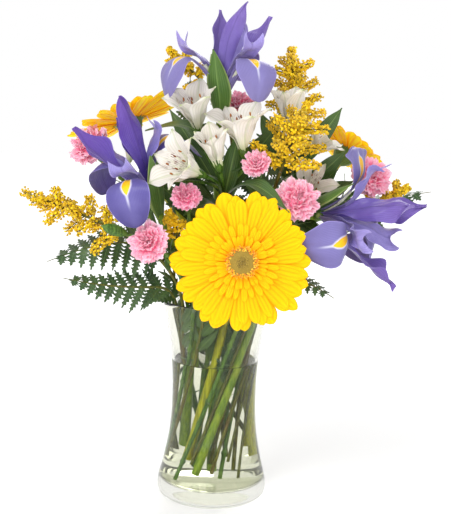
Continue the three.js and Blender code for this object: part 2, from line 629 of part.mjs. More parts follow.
function makeGoldenrod({ name, slot, plume, tip, twigs, spread, thick = 4.6 }) {
  const heading = pointOf(tip).sub(pointOf(plume));
  const end = pointOf(plume).addScaledVector(heading, (-2 * GAP) / heading.length());
  const route = stemRoute({ ...slot, end: end.toArray(), axis: heading.toArray() });
  hole(route, GOLDENROD_STEM, THIN_SIDES);
  keep(`${name}_stem`, rod(route, GOLDENROD_STEM, THIN_SIDES), PALE_GREEN);
  const sag = point(0, 0, -0.06 * heading.length());
  const droop = (s) => pointOf(plume).addScaledVector(heading, s).addScaledVector(sag, s * s);
  const parts = [rod([0, 0.35, 0.7].map(droop), GOLDENROD_STEM, THIN_SIDES)];
  parts.push(floretTwig([0.6, 0.7, 0.8, 0.9, 1].map(droop), thick, 0));
  const frame = frameAt([0, 0, 0], heading.toArray(), [0.13, -0.99, 0.1]);
  for (let i = 0; i < twigs; i++) {
    const s = 0.06 + (0.7 * i) / twigs;
    const out = around(137.5 * i, 1, 0).applyMatrix4(frame);
    const length = spread * (1 - 0.5 * s);
    const ahead = heading.clone().normalize().multiplyScalar(0.6).add(out).normalize();
    const places = [0, 0.25, 0.5, 0.75, 1].map((k) =>
      droop(s).addScaledVector(ahead, k * length).add(point(0, 0, -0.15 * length * k * k)));
    parts.push(floretTwig(places, thick, i));
  }
  keep(`${name}_plume`, fuse(parts), GOLD);
}

const GOLDENRODS = [
  { name: "goldenrod_a", slot: { ring: MIDDLE, turn: 132, foot: 26 },
    plume: [67, 15, 349], tip: [59, 8, 411], twigs: 8, spread: 24, thick: 5.6 },
  { name: "goldenrod_b", slot: { ring: MIDDLE, turn: 78, foot: 34 },
    plume: [51, -46, 301], tip: [71, -56, 364], twigs: 9, spread: 34, thick: 5.8 },
  { name: "goldenrod_c", slot: { ring: OUTER, turn: 312, foot: 22 },
    plume: [-84, -46, 246], tip: [-172, -44, 284], twigs: 8, spread: 24, thick: 5.2 },
  { name: "goldenrod_d", slot: { ring: OUTER, turn: 84, foot: 28 },
    plume: [134, -4, 264], tip: [166, -14, 292], twigs: 6, spread: 22 },
  { name: "goldenrod_e", slot: { ring: INNER, turn: 205, foot: 32 },
    plume: [-18, 26, 375], tip: [-50, 14, 406], twigs: 6, spread: 18 },
  { name: "goldenrod_f", slot: { ring: OUTER, turn: 345, foot: 30 },
    plume: [-34, -58, 246], tip: [-42, -64, 268], twigs: 4, spread: 16 },
];

// ---- leatherleaf fern ----
/** The flat outline of a frond of unit length, with pairs of toothed leaflets that run down to the rib. */
function frondOutline(pairs, widest) {
  const right = [];
  for (let i = 0; i < pairs; i++) {
    const at = 0.06 + (0.86 * i) / pairs;
    const room = 0.86 / pairs;
    const reach = widest * (1 - 0.86 * (i / pairs)) * (i === 0 ? 0.85 : 1);
    const forward = 0.42 * reach;
    right.push(
      [0.012, at], [0.55 * reach, at + 0.6 * forward - 0.12 * room], [reach, at + forward + 0.25 * room],
      [0.5 * reach, at + 0.5 * forward + 0.66 * room], [0.012, at + 0.74 * room],
    );
  }
  const outline = [[0, 0], ...right, [0, 1], ...right.map(([x, y]) => [-x, y]).reverse()];
  return new THREE.Shape(outline.map(([x, y]) => new THREE.Vector2(x, y)));
}

/** A frond whose rib runs from root to tip with an arch, and whose sides droop from the rib. */
function makeFern({ name, slot, root, tip, face, arch = 10, pairs = 6, widest = 0.38, droop = 0.25 }) {
  const [a, b] = [pointOf(root), pointOf(tip)];
  const ahead = b.clone().sub(a);
  const length = ahead.length();
  const up = pointOf(face).addScaledVector(ahead, -pointOf(face).dot(ahead) / ahead.lengthSq()).normalize();
  const across = new THREE.Vector3().crossVectors(ahead, up).normalize();
  const thick = 0.9;
  const outline = frondOutline(pairs, widest);
  const flat = new THREE.ExtrudeGeometry(outline, { depth: thick, bevelEnabled: false });
  const places = flat.getAttribute("position");
  for (let i = 0; i < places.count; i++) {
    const [x, y, z] = [places.getX(i), places.getY(i), places.getZ(i)];
    const lift = arch * Math.sin(Math.PI * y) - droop * Math.abs(x) * length + z - thick / 2;
    const moved = a.clone().addScaledVector(ahead, y)
      .addScaledVector(across, x * length).addScaledVector(up, lift);
    places.setXYZ(i, moved.x, moved.y, moved.z);
  }
  const heading = ahead.clone().addScaledVector(up, arch * Math.PI * 0.8);
  const start = a.clone().addScaledVector(heading, 0.03);
  const route = stemRoute({ ...slot, end: start.toArray(), axis: heading.toArray() });
  hole(route, FERN_STALK, THIN_SIDES);
  keep(name, fuse([solidOf(flat), rod(route, FERN_STALK, THIN_SIDES)]), FERN_GREEN);
}

const FERNS = [
  { name: "fern_left_high", slot: { ring: OUTER, turn: 282, foot: 40 },
    root: [-52, -8, 232], tip: [-152, -30, 214], face: [-0.2, -0.75, 0.6], arch: 12 },
  { name: "fern_left_low", slot: { ring: OUTER, turn: 298, foot: 30 },
    root: [-50, -32, 196], tip: [-132, -66, 208], face: [0.3, -0.8, 0.5], arch: -8 },
  { name: "fern_right_low", slot: { ring: OUTER, turn: 50, foot: 34 },
    root: [46, -44, 208], tip: [100, -76, 198], face: [0.3, -0.6, 0.7], arch: 8, pairs: 5 },
  { name: "fern_right_high", slot: { ring: OUTER, turn: 104, foot: 38 },
    root: [104, 46, 240], tip: [202, 50, 281], face: [-0.2, -0.5, 0.85], arch: 10 },
  { name: "fern_back_right", slot: { ring: OUTER, turn: 126, foot: 22 },
    root: [40, 40, 270], tip: [62, 52, 366], face: [0.2, -0.95, 0.2], arch: -8, pairs: 5 },
  { name: "fern_back", slot: { ring: OUTER, turn: 194, foot: 18 },
    root: [0, 60, 236], tip: [-6, 120, 316], face: [0, -0.6, 0.8], arch: 12, pairs: 5 },
  { name: "fern_back_left", slot: { ring: OUTER, turn: 216, foot: 26 },
    root: [-30, 46, 290], tip: [-32, 58, 388], face: [-0.1, -0.95, 0.2], arch: -8, widest: 0.3 },
];

// ---- everything, in the order in which a bouquet is tied: foliage last, so that it gives way ----
IRISES.forEach((iris) => {
  makeIris(iris);
  makeIrisStem(iris);
});
GERBERAS.forEach(makeGerbera);
CARNATIONS.forEach(makeCarnations);
ALSTROEMERIAS.forEach(makeAlstroemeria);
GOLDENRODS.forEach(makeGoldenrod);
FERNS.forEach(makeFern);
makeVase();
makeWater();

const bouquet = new THREE.Group();
for (const { name, solid, material } of nodes) {
  const { vertProperties, triVerts } = solid.getMesh();
  const geometry = new THREE.BufferGeometry();
  geometry.setAttribute("position", new THREE.BufferAttribute(new Float32Array(vertProperties), 3));
  geometry.setIndex(new THREE.BufferAttribute(new Uint32Array(triVerts), 1));
  geometry.computeVertexNormals();
  const mesh = new THREE.Mesh(geometry, material.clone());
  mesh.name = name;
  bouquet.add(mesh);
}

export default bouquet;
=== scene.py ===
"""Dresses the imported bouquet: irises, gerberas, carnations, alstroemeria, goldenrod and fern in a glass vase.

Sizes are in millimetres with +Z up, the origin under the middle of the vase and -Y the front. They become
metres when a piece is built. A turn is an angle in degrees: 0 is the front and 90 the right.
"""

from __future__ import annotations

import functools
import logging
import math
from collections.abc import Callable, Sequence
from dataclasses import dataclass, field
from enum import Enum

import bpy
import numpy as np
from mathutils import Matrix

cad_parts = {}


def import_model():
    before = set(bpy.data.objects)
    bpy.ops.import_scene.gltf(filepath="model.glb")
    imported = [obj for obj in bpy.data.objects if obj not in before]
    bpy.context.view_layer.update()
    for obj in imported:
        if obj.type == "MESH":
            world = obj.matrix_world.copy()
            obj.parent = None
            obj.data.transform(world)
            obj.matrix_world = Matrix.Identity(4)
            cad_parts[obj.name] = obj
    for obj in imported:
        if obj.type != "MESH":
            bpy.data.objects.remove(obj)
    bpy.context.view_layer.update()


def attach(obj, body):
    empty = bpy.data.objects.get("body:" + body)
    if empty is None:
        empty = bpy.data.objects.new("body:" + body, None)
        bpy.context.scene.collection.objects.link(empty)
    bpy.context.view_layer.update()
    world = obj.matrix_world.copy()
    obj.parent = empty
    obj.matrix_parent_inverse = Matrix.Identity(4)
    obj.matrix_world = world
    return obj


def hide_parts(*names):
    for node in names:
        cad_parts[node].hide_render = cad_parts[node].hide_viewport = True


LOG = logging.getLogger("bouquet")
MM = 0.001
BODY = "root"
GOLDEN_TURN = 137.5
DISC_TURN = 137.508
LILY_LENGTH = 44.0
NUDGE = 1e-3
EVEN_SHADE = 0.5
SMOOTH_GLASS = 40

Socket = bpy.types.NodeSocket
Material = bpy.types.Material
Vec = Sequence[float]
Surface = Callable[[np.ndarray, np.ndarray], np.ndarray]
Radius = Callable[[np.ndarray, np.ndarray], np.ndarray]


# ---- places, frames and curves ----
def unit(vector: Vec) -> np.ndarray:
    """The vector at length one."""
    made = np.asarray(vector, float)
    return made / np.linalg.norm(made)


def around(turn: float, radius: float, height: float) -> np.ndarray:
    """The place at a turn, radius and height about the vase's axis."""
    angle = math.radians(turn)
    return np.array([radius * math.sin(angle), -radius * math.cos(angle), height])


def square(way: Vec, ahead: np.ndarray) -> np.ndarray:
    """The part of a way that is square to another, at length one."""
    made = np.asarray(way, float)
    return unit(made - ahead * made.dot(ahead) / ahead.dot(ahead))


def frame_at(place: Vec, axis: Vec, towards: Vec = (0, -1, 0)) -> np.ndarray:
    """A 4 x 4 frame at a place.

    Args:
        place: The frame's origin.
        axis: The way its Z points.
        towards: The way its X leans.

    Returns:
        The frame, with its axes as columns.
    """
    z = unit(axis)
    x = np.asarray(towards, float)
    x = unit(x - z * x.dot(z))
    made = np.eye(4)
    made[:3, 0], made[:3, 1], made[:3, 2], made[:3, 3] = x, np.cross(z, x), z, place
    return made


def turned(frame: np.ndarray, turn: float) -> np.ndarray:
    """The frame turned round its own Z.

    Args:
        frame: The frame.
        turn: The angle in degrees.

    Returns:
        The turned frame.
    """
    c, s = math.cos(math.radians(turn)), math.sin(math.radians(turn))
    spin = np.eye(4)
    spin[:2, :2] = [[c, -s], [s, c]]
    return frame @ spin


def moved(frame: np.ndarray, place: Vec) -> np.ndarray:
    """A copy of the frame, set at another place.

    Args:
        frame: The frame.
        place: Its new origin.

    Returns:
        The moved copy.
    """
    made = frame.copy()
    made[:3, 3] = place
    return made


def in_frame(points: Sequence | np.ndarray, frame: np.ndarray) -> np.ndarray:
    """Points of a frame, in the bouquet's own coordinates."""
    return np.asarray(points) @ frame[:3, :3].T + frame[:3, 3]


def spline(values: Sequence, s: np.ndarray) -> np.ndarray:
    """A smooth curve through evenly spaced values.

    Args:
        values: Numbers or places to pass through.
        s: Shares of the way from the first to the last.

    Returns:
        The value at each share.
    """
    v = np.asarray(values, float)
    at = np.clip(s, 0, 1) * (len(v) - 1)
    i = np.minimum(at.astype(int), len(v) - 2)
    w = at - i
    if v.ndim > 1:
        w = w[..., None]
    a, b, c, d = v[np.maximum(i - 1, 0)], v[i], v[i + 1], v[np.minimum(i + 2, len(v) - 1)]
    m0, m1 = (c - a) / 2, (d - b) / 2
    return (2 * b - 2 * c + m0 + m1) * w**3 + (-3 * b + 3 * c - 2 * m0 - m1) * w**2 + m0 * w + b


def bezier(a: np.ndarray, b: np.ndarray, c: np.ndarray, d: np.ndarray) -> np.ndarray:
    """Places along a cubic curve from a to d."""
    t = np.linspace(0, 1, CURVE_STEPS + 1)[:, None]
    return (1 - t) ** 3 * a + 3 * t * (1 - t) ** 2 * b + 3 * t * t * (1 - t) * c + t**3 * d


class Route:
    """A way through places, with a frame that turns as little as it can along it."""

    def __init__(self, places: Sequence) -> None:
        """Takes the places of the way in order.

        Args:
            places: The places, two or more.
        """
        self.places = np.asarray(places, float)
        gaps = np.linalg.norm(np.diff(self.places, axis=0), axis=1)
        self.share = np.concatenate([[0], np.cumsum(gaps)]) / gaps.sum()
        self.length = float(gaps.sum())
        ahead = np.gradient(self.places, axis=0)
        self.ahead = ahead / np.linalg.norm(ahead, axis=1)[:, None]
        side = unit(np.cross(self.ahead[0], [0.31, 0.95, 0.05]))
        sides = []
        for way in self.ahead:
            side = unit(side - way * side.dot(way))
            sides.append(side)
        self.sides = np.array(sides)

    def _read(self, rows: np.ndarray, s: np.ndarray) -> np.ndarray:
        """Rows read at shares of the length."""
        return np.stack([np.interp(s, self.share, rows[:, k]) for k in range(3)], axis=-1)

    def at(self, s: float | np.ndarray) -> np.ndarray:
        """The place at a share of the length."""
        return self._read(self.places, np.asarray(s, float))

    def share_at(self, height: float) -> float:
        """The share of the length at a height of the straight stretch in the vase."""
        return float(np.interp(height, self.places[:STRAIGHT_STEPS, 2], self.share[:STRAIGHT_STEPS]))

    def axes(self, s: np.ndarray) -> tuple[np.ndarray, np.ndarray, np.ndarray]:
        """The ways ahead, to the side and to the other side at shares of the length.

        Args:
            s: The shares, from 0 to 1.

        Returns:
            Three arrays of unit directions.
        """
        ahead = self._read(self.ahead, s)
        ahead /= np.linalg.norm(ahead, axis=-1)[..., None]
        side = self._read(self.sides, s)
        side -= ahead * np.sum(side * ahead, axis=-1)[..., None]
        side /= np.linalg.norm(side, axis=-1)[..., None]
        return ahead, side, np.cross(ahead, side)

    def frame(self, s: float) -> np.ndarray:
        """A frame at a share of the length, with Z ahead.

        Args:
            s: The share, from 0 to 1.

        Returns:
            The frame.
        """
        ahead, side, other = self.axes(np.array([s]))
        made = np.eye(4)
        made[:3, 0], made[:3, 1], made[:3, 2], made[:3, 3] = side[0], other[0], ahead[0], self.at(s)
        return made


# ---- modelling: small closed shapes, laid on surfaces or along routes ----
def deselect() -> None:
    """Leaves nothing selected."""
    bpy.ops.object.select_all(action="DESELECT")


@dataclass(frozen=True)
class Shape:
    """A closed mesh modelled once. Its copies each get their own vertices."""

    points: np.ndarray
    faces: tuple[tuple[int, ...], ...]
    sides: tuple[int, ...]

    @staticmethod
    def take(model: bpy.types.Object) -> Shape:
        """Reads a modelled object's mesh and clears the object away.

        Args:
            model: The modelled object.

        Returns:
            Its points, faces and material numbers.
        """
        mesh = model.data
        points = np.array([v.co[:] for v in mesh.vertices])
        faces = tuple(tuple(p.vertices) for p in mesh.polygons)
        sides = tuple(p.material_index for p in mesh.polygons)
        bpy.data.objects.remove(model)
        bpy.data.meshes.remove(mesh)
        return Shape(points, faces, sides)


@functools.lru_cache(maxsize=None)
def slab(across: int, lengthwise: int) -> Shape:
    """A thin square sheet of some cells across and lengthwise, X from -1 to 1 and Y from 0 to 1.

    Args:
        across: Cells across.
        lengthwise: Cells lengthwise.

    Returns:
        The sheet.
    """
    deselect()
    bpy.ops.mesh.primitive_grid_add(
        x_subdivisions=across, y_subdivisions=lengthwise, size=2, location=(0, 0, 0))
    model = bpy.context.object
    for side in ("front", "back"):
        model.data.materials.append(bpy.data.materials.get(side) or bpy.data.materials.new(side))
    bpy.ops.object.mode_set(mode="EDIT")
    bpy.ops.transform.resize(value=(1, 0.5, 1))
    bpy.ops.transform.translate(value=(0, 0.5, 0))
    bpy.ops.object.mode_set(mode="OBJECT")
    wall = model.modifiers.new("wall", "SOLIDIFY")
    wall.thickness = 1
    wall.offset = 0
    wall.material_offset = 1
    bpy.ops.object.modifier_apply(modifier=wall.name)
    return Shape.take(model)


def close_up() -> None:
    """Turns the normals of the mesh being edited outwards and leaves edit mode."""
    bpy.ops.mesh.select_all(action="SELECT")
    bpy.ops.mesh.normals_make_consistent(inside=False)
    bpy.ops.object.mode_set(mode="OBJECT")


@functools.lru_cache(maxsize=None)
def sleeve(sides: int, steps: int) -> Shape:
    """A closed tube of radius one from Z 0 to 1.

    Args:
        sides: Sides round it.
        steps: Steps along it.

    Returns:
        The tube.
    """
    deselect()
    bpy.ops.mesh.primitive_circle_add(vertices=sides, radius=1, fill_type="NGON", location=(0, 0, 0))
    bpy.ops.object.mode_set(mode="EDIT")
    for _ in range(steps):
        bpy.ops.mesh.extrude_region_move(TRANSFORM_OT_translate={"value": (0, 0, 1 / steps)})
    close_up()
    return Shape.take(bpy.context.object)


@functools.lru_cache(maxsize=None)
def bead(segments: int = 6, rings: int = 4) -> Shape:
    """A small ball of radius one, such as a bud.

    Args:
        segments: Faces round it.
        rings: Faces from pole to pole.

    Returns:
        The ball.
    """
    deselect()
    bpy.ops.mesh.primitive_uv_sphere_add(segments=segments, ring_count=rings, radius=1, location=(0, 0, 0))
    return Shape.take(bpy.context.object)


@functools.lru_cache(maxsize=None)
def floret() -> Shape:
    """A goldenrod floret: a small bell that opens to a star of five points.

    Returns:
        The floret.
    """
    deselect()
    bpy.ops.mesh.primitive_circle_add(vertices=10, radius=0.3, fill_type="NGON", location=(0, 0, -1))
    bpy.ops.object.mode_set(mode="EDIT")
    for rise, spread in ((0.8, 2), (0.7, 1.7), (0.25, 0.5)):
        bpy.ops.mesh.extrude_region_move(TRANSFORM_OT_translate={"value": (0, 0, rise)})
        bpy.ops.transform.resize(value=(spread, spread, 1))
    close_up()
    shape = Shape.take(bpy.context.object)
    angle = np.arctan2(shape.points[:, 1], shape.points[:, 0])
    pull = np.where(np.cos(5 * angle) > 0, 1.2, 0.62)
    shape.points[:, :2] *= np.where(shape.points[:, 2] > 0.2, pull, 1)[:, None]
    return shape


class Piece:
    """Gathers the laid shapes of one finished object."""

    def __init__(self, name: str, smooth: float = 50) -> None:
        """Starts an empty piece.

        Args:
            name: The object's name.
            smooth: Edges bent less than this many degrees are shaded smooth.
        """
        self.name = name
        self.smooth = smooth
        self.points: list[np.ndarray] = []
        self.faces: list[tuple[int, ...]] = []
        self.face_paint: list[int] = []
        self.uvs: list[np.ndarray] = []
        self.shades: list[np.ndarray] = []
        self.finishes: list[Finish] = []
        self.count = 0

    def _number(self, finish: Finish) -> int:
        """The slot number of a finish, which is added when new.

        Args:
            finish: The finish.

        Returns:
            Its slot number.
        """
        if finish not in self.finishes:
            self.finishes.append(finish)
        return self.finishes.index(finish)

    def add(self, shape: Shape, points: np.ndarray, uv: np.ndarray, finishes: Sequence[Finish],
            shade: float) -> None:
        """Adds one copy of a shape.

        Args:
            shape: What is copied.
            points: The copy's places, in millimetres.
            uv: The pattern's coordinates at each place.
            finishes: That of the front, then of the back where it differs.
            shade: A number from 0 to 1 that sets this copy's colour apart.
        """
        numbers = [self._number(finish) for finish in finishes]
        self.faces.extend(tuple(i + self.count for i in face) for face in shape.faces)
        self.face_paint.extend(numbers[min(side, len(numbers) - 1)] for side in shape.sides)
        self.points.append(points)
        self.uvs.append(uv)
        self.shades.append(np.full(len(points), shade))
        self.count += len(points)

    def lay(self, surface: Surface, finishes: Sequence[Finish], cells: tuple[int, int], thick: float,
            shade: float = EVEN_SHADE, crowd: float = 1.0) -> None:
        """Lays a thin sheet on a surface.

        Args:
            surface: Gives places at shares s from root to tip and t from -1 to 1 across.
            finishes: Those of the upper and the under side.
            cells: The sheet's cells across and lengthwise.
            thick: Its thickness in the middle.
            shade: The copy's shade.
            crowd: Above 1 sets the cells closer together towards the tip.
        """
        shape = slab(*cells)
        x, y, z = shape.points.T
        s, t = 1 - (1 - np.clip(y, 0, 1)) ** crowd, -x
        ahead = surface(np.clip(s + NUDGE, 0, 1), t) - surface(np.clip(s - NUDGE, 0, 1), t)
        normal = np.cross(ahead, surface(s, t + NUDGE) - surface(s, t - NUDGE))
        length = np.linalg.norm(normal, axis=1)[:, None]
        normal = normal / np.maximum(length, 1e-12)
        points = surface(s, t) + normal * (z * thick * (1 - 0.6 * t**4))[:, None]
        self.add(shape, points, np.stack([(t + 1) / 2, s], axis=1), finishes, shade)

    def run(self, route: Route, radius: float | Radius, finish: Finish, cells: tuple[int, int]) -> None:
        """Runs a tube along a route.

        Args:
            route: The tube's middle.
            radius: Its radius, or a call that gives it at a share of the length and an angle.
            finish: Its finish.
            cells: Its cells round and lengthwise.
        """
        shape = sleeve(*cells)
        x, y, s = shape.points.T
        angle = np.arctan2(y, x)
        r = radius(s, angle) if callable(radius) else np.full(len(s), radius)
        _, side, other = route.axes(s)
        points = route.at(s) + side * (r * x)[:, None] + other * (r * y)[:, None]
        self.add(shape, points, np.stack([angle / math.tau + 0.5, s], axis=1), [finish], EVEN_SHADE)

    def lathe(self, frame: np.ndarray, outline: Sequence, finish: Finish, cells: tuple[int, int],
              shade: float = EVEN_SHADE, ribs: tuple[int, float] = (0, 0.0)) -> None:
        """Sets a round body on a frame's axis.

        Args:
            frame: Its place.
            outline: Its heights and radii, which a smooth curve joins.
            finish: Its finish.
            cells: Its cells round and up.
            shade: The copy's shade.
            ribs: How many ribs it has and how far they stand out, as a share of the radius.
        """
        shape = sleeve(*cells)
        x, y, s = shape.points.T
        angle = np.arctan2(y, x)
        height, r = spline(outline, s).T
        r = np.maximum(r, 0.02) * (1 + ribs[1] * np.cos(ribs[0] * angle))
        self.add(shape, in_frame(np.stack([r * x, r * y, height], axis=1), frame),
                 np.stack([angle / math.tau + 0.5, s], axis=1), [finish], shade)

    def stamp(self, shape: Shape, frame: np.ndarray, size: Vec, finish: Finish, shade: float = EVEN_SHADE
              ) -> None:
        """Sets one copy of a small shape at a frame, at its size along the frame's axes."""
        points = in_frame(shape.points * np.asarray(size), frame)
        self.add(shape, points, shape.points[:, :2] * 0.5 + 0.5, [finish], shade)

    def build(self, node: str, slot: str) -> bpy.types.Object:
        """Makes the object, sets it on its body and reports it.

        Args:
            node: The solid that it stands for.
            slot: The record's material slot; not used.

        Returns:
            The finished object.
        """
        mesh = bpy.data.meshes.new(self.name)
        mesh.from_pydata((np.concatenate(self.points) * MM).tolist(), [], self.faces)
        for finish in self.finishes:
            mesh.materials.append(paint(finish))
        mesh.polygons.foreach_set("material_index", self.face_paint)
        corners = np.fromiter((i for face in self.faces for i in face), int)
        layer = mesh.uv_layers.new(name="petal")
        layer.data.foreach_set("uv", np.concatenate(self.uvs)[corners].astype(np.float32).ravel())
        shade = mesh.attributes.new("shade", "FLOAT", "POINT")
        shade.data.foreach_set("value", np.concatenate(self.shades).astype(np.float32))
        made = bpy.data.objects.new(self.name, mesh)
        bpy.context.collection.objects.link(made)
        deselect()
        made.select_set(True)
        bpy.context.view_layer.objects.active = made
        bpy.ops.object.shade_smooth_by_angle(angle=math.radians(self.smooth))
        return dress(made, node)


def dress(made: bpy.types.Object, node: str) -> bpy.types.Object:
    """Sets a finished object on its body in place of its solid, and reports it.

    Args:
        made: The finished object.
        node: The solid that it stands for.

    Returns:
        The same object.
    """
    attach(made, BODY)
    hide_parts(node)
    LOG.info("%s: %d faces", made.name, len(made.data.polygons))
    return made


# ---- finishes ----
def tint(code: str) -> tuple[float, float, float, float]:
    """A colour given as six hexadecimal digits, in the renderer's linear values.

    Args:
        code: The six digits.

    Returns:
        Red, green, blue and alpha.
    """
    parts = (int(code[i:i + 2], 16) / 255 for i in (0, 2, 4))
    linear = (p / 12.92 if p <= 0.04045 else ((p + 0.055) / 1.055) ** 2.4 for p in parts)
    return (*linear, 1.0)


class Weave:
    """Builds the nodes of one tree."""

    def __init__(self, tree: bpy.types.NodeTree) -> None:
        """Takes the tree."""
        self.tree = tree
        self.nodes = tree.nodes

    def feed(self, socket: Socket, value: object) -> None:
        """Links a socket's output to another's input, or sets a plain value.

        Args:
            socket: The input.
            value: A number or a socket.
        """
        if isinstance(value, Socket):
            self.tree.links.new(value, socket)
        else:
            socket.default_value = value

    def split(self, coordinates: str) -> Sequence[Socket]:
        """The three numbers of the named coordinates.

        Args:
            coordinates: An output of Texture Coordinate.

        Returns:
            The sockets of X, Y and Z.
        """
        part = self.nodes.new("ShaderNodeSeparateXYZ")
        self.feed(part.inputs[0], self.nodes.new("ShaderNodeTexCoord").outputs[coordinates])
        return part.outputs

    def math(self, operation: str, *values: object) -> Socket:
        """The result of a sum on numbers or sockets.

        Args:
            operation: The sum's name.
            values: Numbers or sockets.

        Returns:
            The socket of the result.
        """
        node = self.nodes.new("ShaderNodeMath")
        node.operation = operation
        for i, value in enumerate(values):
            self.feed(node.inputs[i], value)
        return node.outputs[0]

    def times(self, *values: object) -> Socket:
        """The product of two numbers or sockets."""
        return self.math("MULTIPLY", *values)

    def step(self, value: object, low: float, high: float, dim: float = 0.0, bright: float = 1.0) -> Socket:
        """A smooth rise from dim at low to bright at high.

        Args:
            value: A number or a socket.
            low: Where the rise starts.
            high: Where it ends.
            dim: The result up to low.
            bright: The result from high on.

        Returns:
            The socket of the result.
        """
        node = self.nodes.new("ShaderNodeMapRange")
        node.interpolation_type = "SMOOTHSTEP"
        self.feed(node.inputs["Value"], value)
        for name, number in (("From Min", low), ("From Max", high), ("To Min", dim), ("To Max", bright)):
            node.inputs[name].default_value = number
        return node.outputs["Result"]


class Painter(Weave):
    """Builds the nodes of one material."""

    def __init__(self, name: str, **constants: float | tuple) -> None:
        """Starts a material with constants on its shader, named with _ for a space.

        Args:
            name: The material's name.
            constants: The shader's inputs.
        """
        self.material = bpy.data.materials.new(name)
        self.material.use_nodes = True
        super().__init__(self.material.node_tree)
        self.shader = self.nodes["Principled BSDF"]
        for key, value in constants.items():
            self.shader.inputs[key.replace("_", " ")].default_value = value

    def uv(self) -> tuple[Socket, Socket]:
        """The coordinates across and along the piece's own pattern."""
        part = self.split("UV")
        return part[0], part[1]

    def shade(self) -> Socket:
        """The number that sets each copy apart.

        Returns:
            The socket of the number.
        """
        node = self.nodes.new("ShaderNodeAttribute")
        node.attribute_name = "shade"
        return node.outputs["Fac"]

    def off(self, across: object) -> Socket:
        """The distance from the pattern's middle line."""
        return self.math("ABSOLUTE", self.math("SUBTRACT", across, 0.5))

    def wash(self, colour: object, share: object, strength: object, over: str) -> Socket:
        """A colour washed over with another by a share, at a strength."""
        return self.mix(self.times(share, strength), colour, over)

    def ramp(self, value: object, stops: Sequence) -> Socket:
        """Colours along a value, each stop a place and a colour code.

        Args:
            value: A number or a socket.
            stops: The stops in order.

        Returns:
            The socket of the colour.
        """
        node = self.nodes.new("ShaderNodeValToRGB")
        elements = node.color_ramp.elements
        while len(elements) < len(stops):
            elements.new(0.5)
        for element, (place, code) in zip(elements, stops):
            element.position = place
            element.color = tint(code)
        self.feed(node.inputs[0], value)
        return node.outputs["Color"]

    def level(self, value: object, stops: Sequence) -> Socket:
        """A number along a value, each stop a place and a number from 0 to 1.

        Args:
            value: A number or a socket.
            stops: The stops in order.

        Returns:
            The socket of the number.
        """
        node = self.nodes.new("ShaderNodeFloatCurve")
        points = node.mapping.curves[0].points
        while len(points) < len(stops):
            points.new(0.5, 0.5)
        for point, (place, height) in zip(points, stops):
            point.location = (place, height)
            point.handle_type = "AUTO_CLAMPED"
        node.mapping.update()
        self.feed(node.inputs["Value"], value)
        return node.outputs[0]

    def mix(self, share: object, a: object, b: object) -> Socket:
        """Two colours mixed by a share.

        Args:
            share: The share of b.
            a: A colour code or a socket.
            b: Another.

        Returns:
            The socket of the colour.
        """
        node = self.nodes.new("ShaderNodeMix")
        node.data_type = "RGBA"
        self.feed(node.inputs[0], share)
        self.feed(node.inputs[6], tint(a) if isinstance(a, str) else a)
        self.feed(node.inputs[7], tint(b) if isinstance(b, str) else b)
        return node.outputs[2]

    def noise(self, scale: float, stretch: Vec = (1, 1, 1), detail: float = 2, on_uv: bool = False) -> Socket:
        """Soft mottling from 0 to 1, in metres on the object or across its own pattern.

        Args:
            scale: The fineness.
            stretch: The fineness along each axis.
            detail: The layers of finer noise.
            on_uv: Whether it follows the pattern.

        Returns:
            The socket of the number.
        """
        coordinates = self.nodes.new("ShaderNodeTexCoord").outputs["UV" if on_uv else "Object"]
        mapping = self.nodes.new("ShaderNodeMapping")
        mapping.inputs["Scale"].default_value = stretch
        self.feed(mapping.inputs["Vector"], coordinates)
        node = self.nodes.new("ShaderNodeTexNoise")
        node.inputs["Scale"].default_value = scale
        node.inputs["Detail"].default_value = detail
        self.feed(node.inputs["Vector"], mapping.outputs[0])
        return node.outputs["Fac"]

    def stripes(self, across: object, count: float, wander: float = 0.4) -> Socket:
        """Fine lengthwise lines, 1 on a line and 0 between.

        Args:
            across: The place across.
            count: Lines from 0 to 1.
            wander: How far they wander.

        Returns:
            The socket of the number.
        """
        shift = self.times(self.noise(3, (1.2, 2.5, 1), on_uv=True), wander * 6)
        wave = self.math("SINE", self.math("ADD", self.times(across, count * math.tau), shift))
        return self.step(wave, 0.1, 1)

    def bump(self, height: object, distance: float, strength: float) -> None:
        """Roughens the surface by a height.

        Args:
            height: A number or a socket.
            distance: The depth in metres.
            strength: From 0 to 1.
        """
        node = self.nodes.new("ShaderNodeBump")
        node.inputs["Strength"].default_value = strength
        node.inputs["Distance"].default_value = distance
        self.feed(node.inputs["Height"], height)
        self.feed(self.shader.inputs["Normal"], node.outputs[0])

    def finish(self, colour: object, height: object, distance: float, strength: float) -> Material:
        """Links the colour and a bump from a height, and hands over the material.

        Args:
            colour: The socket of the colour.
            height: A number or a socket.
            distance: The depth in metres.
            strength: From 0 to 1.

        Returns:
            The material.
        """
        self.feed(self.shader.inputs["Base Color"], colour)
        self.bump(height, distance, strength)
        return self.material


